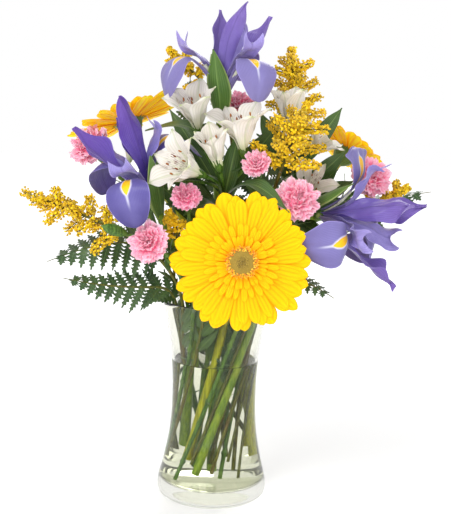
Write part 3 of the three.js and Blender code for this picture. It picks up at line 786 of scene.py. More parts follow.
@dataclass(frozen=True)
class FallFinish:
    """An iris fall's upper side: blue violet, with a yellow signal in a white halo and dark veins, a painted
    highlight down its middle and painted shade at its hanging tip.
    """

    name: str = "iris_fall"
    # From 0.88 on, the body darkens to the hanging tip: painted shade.
    body: tuple = ((0, "544a8c"), (0.45, "524888"), (0.7, "585094"), (0.88, "433a7c"), (1, "362e68"))
    vein: str = "2f2668"
    mottle: str = "68609e"
    # The colour that the flower's shade number washes toward: painted light for irises that stand in more
    # light.
    pale: str = "a096c8"
    # The paler lavender of the painted highlight down the fall's middle.
    painted_glint: str = "8a84c4"
    edge: str = "9a8ed0"
    halo: str = "dcdcee"
    signal: tuple[str, str] = ("f6a800", "ffd400")

    def make(self) -> Material:
        """Makes the material.

        Returns:
            The material.
        """
        p = Painter(self.name, Roughness=0.4, Sheen_Weight=0.12, Sheen_Roughness=0.4, Specular_IOR_Level=0.35)
        u, v = p.uv()
        off = p.off(u)
        colour = p.wash(p.ramp(v, self.body), p.noise(110), 0.5, self.mottle)
        # Painted light: the flower's shade number lightens the whole fall of a flower that stands in more
        # light.
        colour = p.wash(colour, p.shade(), 0.7, self.pale)
        # Painted highlight: a paler streak down the middle of the fall, brightest half-way along and broken up
        # by noise.
        along = p.level(v, ((0, 0.1), (0.5, 0.45), (0.78, 0.5), (1, 0)))
        painted_glint = p.times(p.step(off, 0.36, 0.02), along)
        colour = p.wash(colour, painted_glint, p.noise(60), self.painted_glint)
        along = p.level(v, ((0, 0.6), (0.6, 0.7), (0.85, 0.35), (1, 0.1)))
        lines = p.times(p.stripes(u, 30, 0.8), along)
        colour = p.wash(colour, lines, 0.36, self.vein)
        colour = p.wash(colour, p.step(off, 0.47, 0.5), 0.6, self.edge)
        width = p.level(
            v, ((0, 0.03), (0.4, 0.08), (0.52, 0.12), (0.6, 0.12), (0.68, 0.07), (0.75, 0), (1, 0)))
        inside = p.math("SUBTRACT", width, off)
        fade = p.level(v, ((0, 0.5), (0.45, 1), (0.72, 1), (0.88, 0), (1, 0)))
        halo = p.times(p.step(inside, -0.05, 0.004), fade)
        colour = p.wash(colour, halo, 0.8, self.halo)
        signal = p.step(inside, 0, 0.02)
        yellow = p.mix(p.noise(240), *self.signal)
        crumple = p.math("ADD", p.times(lines, 0.15), p.noise(130, detail=3))
        return p.finish(p.mix(signal, colour, yellow), crumple, 0.0012, 0.4)


@dataclass(frozen=True)
class VioletFinish:
    """A standard, a style arm or a fall's underside, with soft paler patches of painted highlight."""

    name: str
    body: tuple
    vein: str = "33265f"
    edge: str = "8a7cc4"
    rib: float = 0.5
    # The colour that the flower's shade number washes toward: painted light for irises that stand in more
    # light.
    pale: str = "9b8acc"

    def make(self) -> Material:
        """Makes the material.

        Returns:
            The material.
        """
        p = Painter(self.name, Roughness=0.36, Sheen_Weight=0.1, Sheen_Roughness=0.4, Specular_IOR_Level=0.42)
        u, v = p.uv()
        off = p.off(u)
        colour = p.wash(p.ramp(v, self.body), p.noise(130), 0.5, self.edge)
        # Painted highlight: broad soft patches washed toward the paler edge colour, standing in for the satin's
        # bright spots.
        painted_highlight_patches = p.step(p.noise(3, (2.5, 1, 1), detail=3, on_uv=True), 0.5, 0.75)
        colour = p.wash(colour, painted_highlight_patches, 0.35, self.edge)
        # Painted light: the flower's shade number lightens the whole petal of a flower that stands in more
        # light.
        colour = p.wash(colour, p.shade(), 0.6, self.pale)
        lines = p.stripes(u, 17, 0.9)
        colour = p.wash(colour, lines, 0.2, self.vein)
        rib = p.times(p.step(off, 0.06, 0), self.rib)
        colour = p.mix(rib, colour, self.vein)
        colour = p.mix(p.step(off, 0.47, 0.5), colour, self.edge)
        crumple = p.math("ADD", p.times(lines, 0.15), p.noise(150, detail=3))
        return p.finish(colour, crumple, 0.0012, 0.5)


@dataclass(frozen=True)
class RayFinish:
    """A gerbera's ray: yellow, ribbed along, and orange towards its root or on its underside, which glows a
    little as painted light.
    """

    name: str
    body: tuple
    groove: str
    grooves: float = 3
    depth: float = 0.5
    glow: float = 0.2
    # Emission strength: painted light, a glow of the ray's own colour where no lamp shines.
    lit: float = 0.0
    warm: str = "ffc000"

    def make(self) -> Material:
        """Makes the material.

        Returns:
            The material.
        """
        p = Painter(self.name, Roughness=0.55, Sheen_Weight=0.05, Specular_IOR_Level=0.12,
                    Subsurface_Weight=self.glow, Subsurface_Radius=(0.01, 0.005, 0.0006),
                    Subsurface_Scale=0.5)
        u, v = p.uv()
        ridge = p.math("COSINE", p.times(p.math("SUBTRACT", u, 0.5), self.grooves * math.tau))
        dip = p.step(ridge, 0.1, -1)
        colour = p.wash(p.ramp(v, self.body), p.shade(), 0.35, self.warm)
        fade = p.times(p.level(v, ((0, 1), (0.7, 0.75), (1, 0.1))), self.depth)
        colour = p.mix(p.times(dip, fade), colour, self.groove)
        off = p.off(u)
        colour = p.wash(colour, p.step(off, 0.44, 0.5), 0.4, self.groove)
        # Painted light: the ray's colour also glows at strength lit, standing in for light through the thin
        # ray.
        p.shader.inputs["Emission Strength"].default_value = self.lit
        p.feed(p.shader.inputs["Emission Color"], colour)
        return p.finish(colour, p.times(ridge, 0.5), 0.0005, 0.5)


@dataclass(frozen=True)
class FrillFinish:
    """A carnation's petal: deep pink at its root, light pink at its toothed edge."""

    name: str
    body: tuple
    deep: str

    def make(self) -> Material:
        """Makes the material.

        Returns:
            The material.
        """
        p = Painter(self.name, Roughness=0.6, Sheen_Weight=0.3, Specular_IOR_Level=0.2,
                    Subsurface_Weight=0.2, Subsurface_Radius=(0.003, 0.001, 0.0015), Subsurface_Scale=0.5)
        u, v = p.uv()
        colour = p.ramp(v, self.body)
        # The shade number washes toward deep pink: partly each petal's random tone, and for inner rings painted
        # shade in the head's folds.
        colour = p.wash(colour, p.shade(), 0.45, self.deep)
        lines = p.stripes(u, 12, 0.3)
        fade = p.level(v, ((0, 1), (0.8, 0.8), (1, 0.25)))
        colour = p.wash(colour, p.times(lines, fade), 0.35, self.deep)
        return p.finish(colour, lines, 0.0003, 0.5)


@dataclass(frozen=True)
class TepalFinish:
    """An alstroemeria's tepal: white, green along its middle and at its tip, the inner ones dashed."""

    name: str
    dashes: float = 0.0
    green: float = 0.5
    body: tuple = ((0, "a9b874"), (0.2, "dcdcc0"), (0.45, "e9e4da"), (0.88, "ebe5db"), (1, "bcc98e"))
    rib: str = "9db36a"
    line: str = "b4b096"
    dash: str = "6d2626"

    def make(self) -> Material:
        """Makes the material.

        Returns:
            The material.
        """
        p = Painter(self.name, Roughness=0.5, Sheen_Weight=0.15, Specular_IOR_Level=0.3,
                    Subsurface_Weight=0.2, Subsurface_Radius=(0.003, 0.003, 0.002), Subsurface_Scale=0.5)
        u, v = p.uv()
        off = p.off(u)
        colour = p.ramp(v, self.body)
        rib = p.times(p.step(off, 0.09, 0), p.level(v, ((0, 1), (0.6, 0.5), (1, 0.8))))
        colour = p.wash(colour, rib, self.green, self.rib)
        lines = p.stripes(u, 9, 0.2)
        colour = p.wash(colour, lines, 0.25, self.line)
        if self.dashes:
            spots = p.step(p.noise(1, (36, 9, 1), detail=0, on_uv=True), 0.59, 0.65)
            zone = p.level(v, ((0, 0.3), (0.3, 1), (0.6, 1), (0.76, 0), (1, 0)))
            colour = p.wash(colour, p.times(spots, zone), self.dashes, self.dash)
        return p.finish(colour, lines, 0.0002, 0.4)


@dataclass(frozen=True)
class GrainFinish:
    """Small grains such as florets, buds and anthers, whose copies differ in colour."""

    name: str
    body: tuple
    rough: float = 0.7
    fleck: str = "7a4a08"
    flecks: float = 0.25

    def make(self) -> Material:
        """Makes the material.

        Returns:
            The material.
        """
        p = Painter(self.name, Roughness=self.rough, Sheen_Weight=0.2, Specular_IOR_Level=0.25)
        colour = p.ramp(p.shade(), self.body)
        spots = p.noise(900, detail=3)
        colour = p.wash(colour, p.step(spots, 0.52, 0.7), self.flecks, self.fleck)
        return p.finish(colour, spots, 0.0006, 0.6)


@dataclass(frozen=True)
class LeafFinish:
    """A leaf, sheath or fern: a paler rib, fine veins and a soft gloss."""

    name: str
    body: tuple
    rib: str
    veins: float = 9
    rough: float = 0.42
    edge: str = ""

    def make(self) -> Material:
        """Makes the material.

        Returns:
            The material.
        """
        p = Painter(self.name, Roughness=self.rough, Specular_IOR_Level=0.45, Sheen_Weight=0.08)
        u, v = p.uv()
        off = p.off(u)
        colour = p.mix(p.noise(140), p.ramp(v, self.body), p.ramp(p.shade(), self.body))
        lines = p.stripes(u, self.veins, 0.15)
        colour = p.wash(colour, lines, 0.22, self.rib)
        colour = p.wash(colour, p.step(off, 0.05, 0.01), 0.7, self.rib)
        if self.edge:
            colour = p.wash(colour, p.step(off, 0.4, 0.49), 0.8, self.edge)
        return p.finish(colour, lines, 0.0003, 0.5)


@dataclass(frozen=True)
class StemFinish:
    """A stem: two greens in streaks that run up it, with a few darker patches."""

    name: str
    light: str
    dark: str
    patch: str
    rough: float = 0.45

    def make(self) -> Material:
        """Makes the material.

        Returns:
            The material.
        """
        p = Painter(self.name, Roughness=self.rough, Specular_IOR_Level=0.4)
        streaks = p.noise(700, (1, 1, 0.05), 3)
        colour = p.mix(p.step(streaks, 0.35, 0.65), self.dark, self.light)
        colour = p.wash(colour, p.step(p.noise(45), 0.5, 0.75), 0.6, self.patch)
        return p.finish(colour, streaks, 0.0004, 0.5)


@dataclass(frozen=True)
class GlassFinish:
    """Clear glass, or the water in it."""

    name: str
    colour: str
    ior: float

    def make(self) -> Material:
        """Makes the material.

        Returns:
            The material.
        """
        p = Painter(self.name, Roughness=0.0, IOR=self.ior, Transmission_Weight=1.0,
                    Base_Color=tint(self.colour), Specular_Tint=(0.35, 0.35, 0.35, 1))
        p.bump(p.noise(25, detail=1), 0.0005, 0.05)
        return p.material


@dataclass(frozen=True)
class FloorFinish:
    """A plain pale studio floor, which glows a little away from the object, as a lit sweep does."""

    name: str = "floor"
    near: float = 0.25
    far: float = 1.2

    def make(self) -> Material:
        """Makes the material.

        Returns:
            The material.
        """
        p = Painter(self.name, Roughness=0.9, Specular_IOR_Level=0.05, Emission_Strength=0.55)
        reach = p.nodes.new("ShaderNodeVectorMath")
        reach.operation = "LENGTH"
        p.feed(reach.inputs[0], p.nodes.new("ShaderNodeTexCoord").outputs["Object"])
        glow = p.ramp(p.step(reach.outputs["Value"], self.near, self.far), ((0, "5c5c5c"), (1, "ffffff")))
        p.feed(p.shader.inputs["Emission Color"], glow)
        p.feed(p.shader.inputs["Base Color"], p.mix(p.noise(3), "f2f2f2", "f6f6f6"))
        return p.material


class Finish(Enum):
    """Every finish of the bouquet, by its use."""

    FALL = FallFinish()
    STANDARD = VioletFinish(
        "iris_standard", ((0, "4e409a"), (0.3, "402c90"), (0.7, "522f94"), (1, "603898")),
        "241850", "6a55a2", 0.25)
    STYLE = VioletFinish(
        "iris_style_arm", ((0, "62559e"), (0.45, "645aa6"), (0.8, "7a70b6"), (1, "9086c6")),
        "403478", "a096d0", 0.3)
    UNDER = VioletFinish(
        "iris_fall_under", ((0, "8d90a0"), (0.35, "6b5fa8"), (1, "5b4c9e")), rib=0.2)
    RAY = RayFinish(
        "gerbera_ray", ((0, "f29600"), (0.3, "faae00"), (0.6, "ffbb00"), (1, "ffc602")), "f09000", 3, 0.55)
    # The underside glows at emission 0.22: painted light standing in for light through the thin rays.
    RAY_UNDER = RayFinish(
        "gerbera_ray_under", ((0, "ffa80c"), (0.5, "ffc804"), (1, "ffe010")), "ee8608", 2, 0.62, 0.8, 0.22)
    DISC_BUD = GrainFinish(
        "gerbera_disc_bud", ((0, "76601e"), (0.5, "987e30"), (1, "b49840")), fleck="4d4418")
    DISC_RAY = GrainFinish(
        "gerbera_disc_ray", ((0, "dc5a14"), (0.3, "f09414"), (0.6, "fcc42c"), (1, "ffd858")), fleck="d4471a")
    CARNATION = FrillFinish(
        "carnation_petal", ((0, "e84078"), (0.4, "f86a98"), (0.75, "fd96b6"), (1, "ffdbe6")), "f25084")
    CARNATION_DEEP = FrillFinish(
        "carnation_petal_deep", ((0, "dc3c70"), (0.4, "f06092"), (0.8, "fb8cb0"), (1, "ffc8da")), "e44a80")
    TEPAL = TepalFinish("alstroemeria_tepal", green=0.6)
    TEPAL_DASHED = TepalFinish("alstroemeria_inner_tepal", dashes=0.9, green=0.35)
    ANTHER = GrainFinish("anther", ((0, "8a4a1c"), (1, "b5702e")), fleck="5a2c10")
    FILAMENT = StemFinish("filament", "eef0dc", "d8dcb8", "e3d3c0", 0.6)
    # Shade 0 is dark olive: the florets' random tone, and the painted shade of those near the twig.
    GOLD = GrainFinish(
        "goldenrod_floret", ((0, "8c7c10"), (0.3, "d2ae08"), (0.65, "f4c806"), (1, "ffde2a")), fleck="8c7a0a",
        flecks=0.1)
    SHEATH = LeafFinish(
        "iris_sheath", ((0, "648436"), (0.5, "446a26"), (1, "64843a")), "76964a", 11, edge="a2b46c")
    LEAF = LeafFinish("leaf", ((0, "3f5e22"), (0.5, "35521d"), (1, "4a6b2a")), "6f8a42")
    SLIM_LEAF = LeafFinish("slim_leaf", ((0, "5d7a46"), (0.5, "52703c"), (1, "688650")), "8ba36c", 5)
    FERN = LeafFinish("fern_leaflet", ((0, "3b562e"), (0.5, "2a4420"), (1, "4e6a40")), "4c6e36", 4, 0.35)
    RACHIS = StemFinish("fern_rib", "686e2c", "444818", "5c4420")
    IRIS_STEM = StemFinish("iris_stem", "86a02c", "60801a", "a4b03a")
    PALE_STEM = StemFinish("gerbera_stem", "b4b41c", "868c0c", "9c8812")
    GOLDENROD_STEM = StemFinish("goldenrod_stem", "6c6e20", "484a10", "603e14")
    GREEN_STEM = StemFinish("alstroemeria_stem", "527622", "30500e", "7e8a2e")
    CARNATION_STEM = StemFinish("carnation_stem", "5e8432", "385a1a", "8aa040")
    CUP = LeafFinish("gerbera_bract", ((0, "5f7a30"), (1, "6f8a3a")), "8fa050", 3)
    GLASS = GlassFinish("clear_glass", "efefe8", 1.5)
    WATER = GlassFinish("clear_water", "f7f9ed", 1.33)
    FLOOR = FloorFinish()


@functools.lru_cache(maxsize=None)
def paint(finish: Finish) -> Material:
    """The material of a finish, made once."""
    return finish.value.make()


# ---- surfaces ----
@dataclass(frozen=True)
class Petal:
    """A petal's surface in a flower's frame, along a spine of distances out and up."""

    frame: np.ndarray
    spine: Sequence
    half: Sequence
    cup: float = 0.0
    sway: float = 0.0
    lean: float = 0.0
    twist: float = 0.0
    notch: float = 0.0
    wave: float = 0.0
    ruffle: float = 0.0
    phase: float = 0.0
    keel: float = 0.0
    rounded: float = 0.0

    def _line(self, s: np.ndarray) -> np.ndarray:
        """The spine, leant about its first place.

        Args:
            s: Shares along, from 0 to 1.

        Returns:
            The places, out and up.
        """
        angle = -math.radians(self.lean)
        c, d = math.cos(angle), math.sin(angle)
        spine = np.asarray(self.spine, float)
        off = spine - spine[0]
        leant = np.stack([off[:, 0] * c - off[:, 1] * d, off[:, 0] * d + off[:, 1] * c], axis=1) + spine[0]
        return spline(leant, s)

    def __call__(self, s: np.ndarray, t: np.ndarray) -> np.ndarray:
        """Places at shares along and across.

        Args:
            s: Shares along, from 0 to 1.
            t: Shares across, from -1 to 1.

        Returns:
            The places, a row for each share.
        """
        place = self._line(s)
        ahead = self._line(np.clip(s + NUDGE, 0, 1)) - self._line(np.clip(s - NUDGE, 0, 1))
        ahead /= np.linalg.norm(ahead, axis=1)[:, None]
        half = spline(self.half, s)
        if self.rounded:
            half = half * np.sqrt(1 - np.clip((s - 1 + self.rounded) / self.rounded, 0, 1) ** 2)
        width = t * np.maximum(half, 0.06)
        roll = math.radians(self.twist) * s
        lift = self.cup * np.abs(t * width) + self.wave * np.sin(9 * s + 2 * t) * t + width * np.sin(roll)
        edge = np.sin(17 * s + self.phase + 1.3 * np.sign(t))
        lift = lift + self.ruffle * t * t * edge * np.minimum(2 * s, 1)
        lift = lift - self.keel * np.exp(-40 * t * t) * (1 - s)
        lift = lift + 0.3 * self.ruffle * np.sin(21 * s + 6 * t + self.phase) * np.sin(5 * t + 2 * s) * s
        back = self.notch * s**3 * (1 - t * t)
        points = np.stack([
            place[:, 0] - ahead[:, 1] * lift - ahead[:, 0] * back,
            width * np.cos(roll) + self.sway * s * s,
            place[:, 1] + ahead[:, 0] * lift - ahead[:, 1] * back,
        ], axis=1)
        return in_frame(points, self.frame)


@dataclass(frozen=True)
class Leaf:
    """A leaf's surface from one place to another, arched towards its face."""

    start: Vec
    end: Vec
    face: Vec
    half: Sequence
    arch: float = 0.0
    fold: float = 0.3
    wave: float = 0.0

    def __call__(self, s: np.ndarray, t: np.ndarray) -> np.ndarray:
        """Places at shares along and across.

        Args:
            s: Shares along, from 0 to 1.
            t: Shares across, from -1 to 1.

        Returns:
            The places, a row for each share.
        """
        a = np.asarray(self.start, float)
        ahead = np.asarray(self.end, float) - a
        up = square(self.face, ahead)
        across = unit(np.cross(up, ahead))
        width = np.maximum(spline(self.half, s), 0.05)
        lift = self.arch * np.sin(math.pi * s) + self.fold * width * t * t
        lift = lift + self.wave * np.sin(11 * s + t) * t
        return a + ahead * s[:, None] + up * lift[:, None] + across * (t * width)[:, None]


@dataclass(frozen=True)
class Ray:
    """A gerbera ray's surface: three ribs along it and a rounded tip."""

    frame: np.ndarray
    root: float
    reach: float
    height: float
    half: float
    radius: float
    dish: float = 0.0
    bow: float = 0.0
    sway: float = 0.0
    twist: float = 0.0

    def __call__(self, s: np.ndarray, t: np.ndarray) -> np.ndarray:
        """Places at shares along and across.

        Args:
            s: Shares along, from 0 to 1.
            t: Shares across, from -1 to 1.

        Returns:
            The places, a row for each share.
        """
        out = self.root + (self.reach - self.root) * s
        profile = spline((0.36, 0.56, 0.76, 0.92, 1, 1), s)
        profile = profile * np.maximum(1 - np.clip((s - 0.78) / 0.22, 0, 1) ** 2, 0.0006) ** 0.55
        width = self.half * profile * t
        rib = 0.05 * self.half * np.cos(3 * math.pi * t) * np.minimum(4 * (1 - s) + 0.15, 1)
        up = self.height + 0.06 * (out - self.root) + self.dish * (out - self.root) * out / self.radius
        up = up + rib + self.bow * s * s + width * self.twist * s - 0.1 * self.half * t * t
        return in_frame(np.stack([out, width + self.sway * s * s, up], axis=1), self.frame)


@dataclass(frozen=True)
class Frill:
    """A carnation petal's surface: a narrow claw that fans out to a waved, toothed edge."""

    frame: np.ndarray
    radius: float
    out: float
    up: float
    half: float
    waves: float
    phase: float
    depth: float

    def __call__(self, s: np.ndarray, t: np.ndarray) -> np.ndarray:
        """Places at shares along and across.

        Args:
            s: Shares along, from 0 to 1.
            t: Shares across, from -1 to 1.

        Returns:
            The places, a row for each share.
        """
        teeth = 1 - 0.065 * np.abs(np.mod(5.5 * t + self.phase, 1) - 0.5) * 2 - 0.06 * t * t
        along = s * teeth
        r = self.radius
        spine = ((0.05, -0.6), (0.12, -0.34), (0.3, 0.2 * self.up - 0.1), (self.out * 0.72, self.up * 0.75),
                 (self.out, self.up))
        line = spline(spine, along) * r
        fan = self.half * r * (0.1 + 0.9 * np.clip(along, 0, 1) ** 1.6)
        wave = self.depth * r * along**2.5 * np.sin(self.waves * t + self.phase)
        curl = 0.06 * r * np.sin(3.1 * self.waves * t + 2 * self.phase) * along**4
        angle = t * fan / np.maximum(line[:, 0], 0.28 * r)
        out, height = line[:, 0] + 0.5 * wave - 0.6 * curl, line[:, 1] + 0.8 * wave + curl
        return in_frame(np.stack([out * np.cos(angle), out * np.sin(angle), height], axis=1), self.frame)


# ---- stems ----
CENTRE, INNER, MIDDLE, OUTER = 0, 13, 26, 39
NECK_HEIGHT = 172
TUCK_STEP = 7
SPIRAL = -90
FOOT_SHARE = 0.95
GLASS_FLOOR = 12.5
GAP = 0.35
STRAIGHT_STEPS = 16
CURVE_STEPS = 28


@dataclass(frozen=True)
class Slot:
    """Where a stem stands in the vase: its ring and turn at the neck, the height of its foot, its bend."""

    ring: float
    turn: float
    foot: float
    bend: float = 0.42

    def route(self, end: Vec, axis: Vec) -> Route:
        """The stem's way, straight in the vase and then bent to its end.

        Args:
            end: The stem's upper end.
            axis: The way it heads there.

        Returns:
            The way from the foot up.
        """
        neck = around(self.turn, self.ring, NECK_HEIGHT)
        low = around(self.turn + SPIRAL, self.ring * FOOT_SHARE, GLASS_FLOOR + 1)
        ahead = unit(neck - low)
        start = neck - ahead * (NECK_HEIGHT - self.foot) / ahead[2]
        last = np.asarray(end, float)
        reach = np.linalg.norm(last - neck)
        leave = neck + ahead * self.bend * 0.8 * reach
        curve = bezier(neck, leave, last - unit(axis) * self.bend * reach, last)
        straight = [start + (neck - start) * k / STRAIGHT_STEPS for k in range(STRAIGHT_STEPS)]
        return Route([*straight, *curve])

    def fork(self, end: Vec, axis: Vec) -> np.ndarray:
        """The place a quarter of the way up the bent part, where side branches leave."""
        route = self.route(end, axis)
        return route.places[STRAIGHT_STEPS + CURVE_STEPS // 4]


def branch(start: Vec, end: Vec, axis: Vec, bend: float = 0.4) -> Route:
    """A side branch's way to an end, heading along axis there.

    Args:
        start: Its first place.
        end: Its last place.
        axis: Its heading there.
        bend: How far it curves, as a share of its reach.

    Returns:
        The route.
    """
    a, d = np.asarray(start, float), np.asarray(end, float)
    reach = np.linalg.norm(d - a)
    ahead = unit(unit(d - a) + (0, 0, 0.5))
    return Route(bezier(a, a + ahead * bend * reach, d - unit(axis) * bend * reach, d))


def cut_foot(radius: float) -> Radius:
    """A stem's radius that a little varies along it and swells where it is cut."""
    return lambda s, angle: radius * (
        1 + 0.05 * np.sin(31 * s + 2 * np.sin(11 * s)) + 0.06 * np.cos(3 * angle) + 0.1 * np.exp(-60 * s))


def noded(radius: float, nodes: int, swell: float = 0.6) -> Radius:
    """A stem's radius that swells at evenly spaced nodes."""
    return lambda s, angle: radius * (
        1 + swell * np.exp(-((np.mod(s * nodes, 1) - 0.5) ** 2) * 900) + 0.05 * np.cos(2 * angle))


def inwards(at: np.ndarray) -> np.ndarray:
    """The level way from a frame to the vase's axis."""
    return unit((-at[0, 3], -at[1, 3], 0))


def tuck_leaves(piece: Piece, route: Route, count: int, half: float) -> None:
    """Lays the leaves that a stem carries into the vase's neck, turned inwards to clear the glass.

    Args:
        piece: What they are added to.
        route: The stem's way.
        count: How many leaves there are.
        half: Half a leaf's width.
    """
    widths = (0.25 * half, half, 1.1 * half, 0.7 * half, 0.2)
    for k in range(count):
        at = route.frame(route.share_at(NECK_HEIGHT + 2 - TUCK_STEP * k))
        inward = inwards(at)
        side = np.cross(inward, at[:3, 2]) * (1 if k % 2 else -1)
        tip = at[:3, 3] + 9 * inward + 27 * at[:3, 2] + 12 * side
        piece.lay(Leaf(at[:3, 3], tip, 0.5 * side - inward, widths, 3, wave=0.8), [Finish.LEAF], (6, 14), 0.6,
                  (k % 4) / 3)


def sprout(piece: Piece, at: np.ndarray, reach: Vec, half: Vec, arch: float, cells: tuple[int, int],
           thick: float, shade: float = EVEN_SHADE, wave: float = 0.0) -> None:
    """Lays one leaf that grows out of a stem."""
    leaf = Leaf(at[:3, 3], in_frame(reach, at), at[:3, 2] - at[:3, 0], half, arch, wave=wave)
    piece.lay(leaf, [Finish.LEAF], cells, thick, shade)


# ---- the flowers ----
@dataclass(frozen=True)
class Fall:
    """An iris fall: its turn, how far it hangs, how it leans and how far it sways."""

    turn: float
    lean: float = 0
    droop: float = 1
    sway: float = 0


@dataclass(frozen=True)
class Standard:
    """An upright iris petal: its turn, lean, sway and twist, and its width and length against the rest."""

    turn: float
    lean: float = 0
    sway: float = 0
    twist: float = 0
    wide: float = 1
    long: float = 1


@dataclass(frozen=True)
class Bract:
    """A sheath leaf at an iris's base: its turn, length, lean and sway."""

    turn: float
    length: float
    lean: float = 0
    sway: float = 0


@dataclass
class Iris:
    """A Dutch iris: three falls with the style arms over them, three standards, the stem and its sheaths."""

    name: str
    base: Vec
    axis: Vec
    slot: Slot
    falls: Sequence[Fall]
    standards: Sequence[Standard]
    bracts: Sequence[Bract]
    blades: Sequence[tuple[float, float, float]] = ()
    # pale is painted light: through their shade number it lightens every petal of a flower that stands in more
    # light.
    pale: float = 0.0
    size: float = 1.0
    rumple: float = 1.0
    hub: float = 4.8
    stem: float = 3.5
    crest: int = 3
    fall_spine: Sequence = ((3.4, 1), (11, 15), (22, 28), (34, 35), (45, 32), (52, 19), (54, 2))
    fall_half: Sequence = (1.8, 3.2, 4.0, 6.6, 16, 19.4, 19, 17)
    style_spine: Sequence = ((0.8, 1), (8, 20), (18, 33), (29, 40), (36, 47), (36, 57))
    style_half: Sequence = (1.5, 4.2, 6, 8, 10, 8)
    standard_spine: Sequence = ((3.2, 2), (7, 24), (12, 48), (15, 66), (14, 82))
    standard_half: Sequence = (1.8, 3.6, 8.8, 11.2, 7.6, 0.5)

    def build_flower(self) -> None:
        """Builds the petals on their small base."""
        frame = frame_at(self.base, self.axis)
        frame[:3, :3] *= self.size
        piece = Piece(f"{self.name}_petals")
        piece.stamp(bead(12, 8), frame, (self.hub,) * 3, Finish.SHEATH)
        top = self.fall_spine[self.crest][1]
        for i, fall in enumerate(self.falls):
            spine = [(out, top - fall.droop * (top - up) if k > self.crest else up)
                     for k, (out, up) in enumerate(self.fall_spine)]
            around_it = turned(frame, fall.turn)
            # Every petal takes pale as its shade number: painted light on the whole flower.
            piece.lay(Petal(around_it, spine, self.fall_half, cup=-0.12, lean=fall.lean, sway=fall.sway,
                            ruffle=0.9 * self.rumple, phase=2.1 * i, keel=1.4, rounded=0.3),
                      [Finish.FALL, Finish.UNDER], (20, 44), 0.7, self.pale, 1.5)
            piece.lay(Petal(around_it, self.style_spine, self.style_half, cup=-0.3, lean=fall.lean,
                            sway=0.6 * fall.sway, notch=9, ruffle=1.3 * self.rumple, phase=1.7 * i,
                            keel=-1.6),
                      [Finish.STYLE], (16, 30), 0.7, self.pale)
            stamen = Route([in_frame(place, around_it) for place in ((2, 0, 2), (9, 0, 15), (20, 0, 26))])
            piece.run(stamen, lambda s, _: 0.9 + 0.9 * (s > 0.55), Finish.FILAMENT, (6, 8))
        for i, standard in enumerate(self.standards):
            spine = [(out, up * standard.long) for out, up in self.standard_spine]
            half = [h * standard.wide for h in self.standard_half]
            piece.lay(Petal(turned(frame, standard.turn), spine, half, cup=0.35, wave=1.8 * self.rumple,
                            ruffle=1.9 * self.rumple, phase=1.9 * i, keel=1.2, lean=standard.lean,
                            sway=standard.sway, twist=standard.twist),
                      [Finish.STANDARD], (16, 40), 0.7, self.pale)
        piece.build(f"{self.name}_flower", "iris_petal")

    def build_stem(self) -> None:
        """Builds the stem and the sheaths that stand round the flower's base."""
        end = np.asarray(self.base, float) - unit(self.axis) * (self.hub * self.size + GAP)
        route = self.slot.route(end, self.axis)
        piece = Piece(f"{self.name}_stalk")
        piece.run(route, lambda s, a: self.stem * (1 + 0.03 * np.cos(3 * a)) * (1 + 0.3 * np.clip(
            (s - 0.93) / 0.07, 0, 1)), Finish.IRIS_STEM, (14, 90))
        frame = frame_at(end, self.axis)
        for bract in self.bracts:
            spine = ((1.5, -16), (8.4, 3), (13.4, bract.length * 0.45), (18.5, bract.length))
            piece.lay(Petal(turned(frame, bract.turn), spine, (3, 9.2, 9.4, 0.5), cup=0.3, ruffle=0.4,
                            lean=bract.lean, sway=bract.sway),
                      [Finish.SHEATH], (12, 26), 0.9)
        for share, turn, length in self.blades:
            at = turned(route.frame(share), turn)
            tip = in_frame(np.array([0.34, 0, 0.92]) * length, at)
            half = (3.4, 5.6, 6.2, 5.4, 3.6, 0.2)
            leaf = Leaf(at[:3, 3], tip, at[:3, 0], half, -0.06 * length, 0.5, 0.6)
            piece.lay(leaf, [Finish.LEAF], (8, 30), 0.8)
        piece.build(f"{self.name}_stem", "leaf")

    def build(self) -> None:
        """Builds both pieces."""
        self.build_flower()
        self.build_stem()


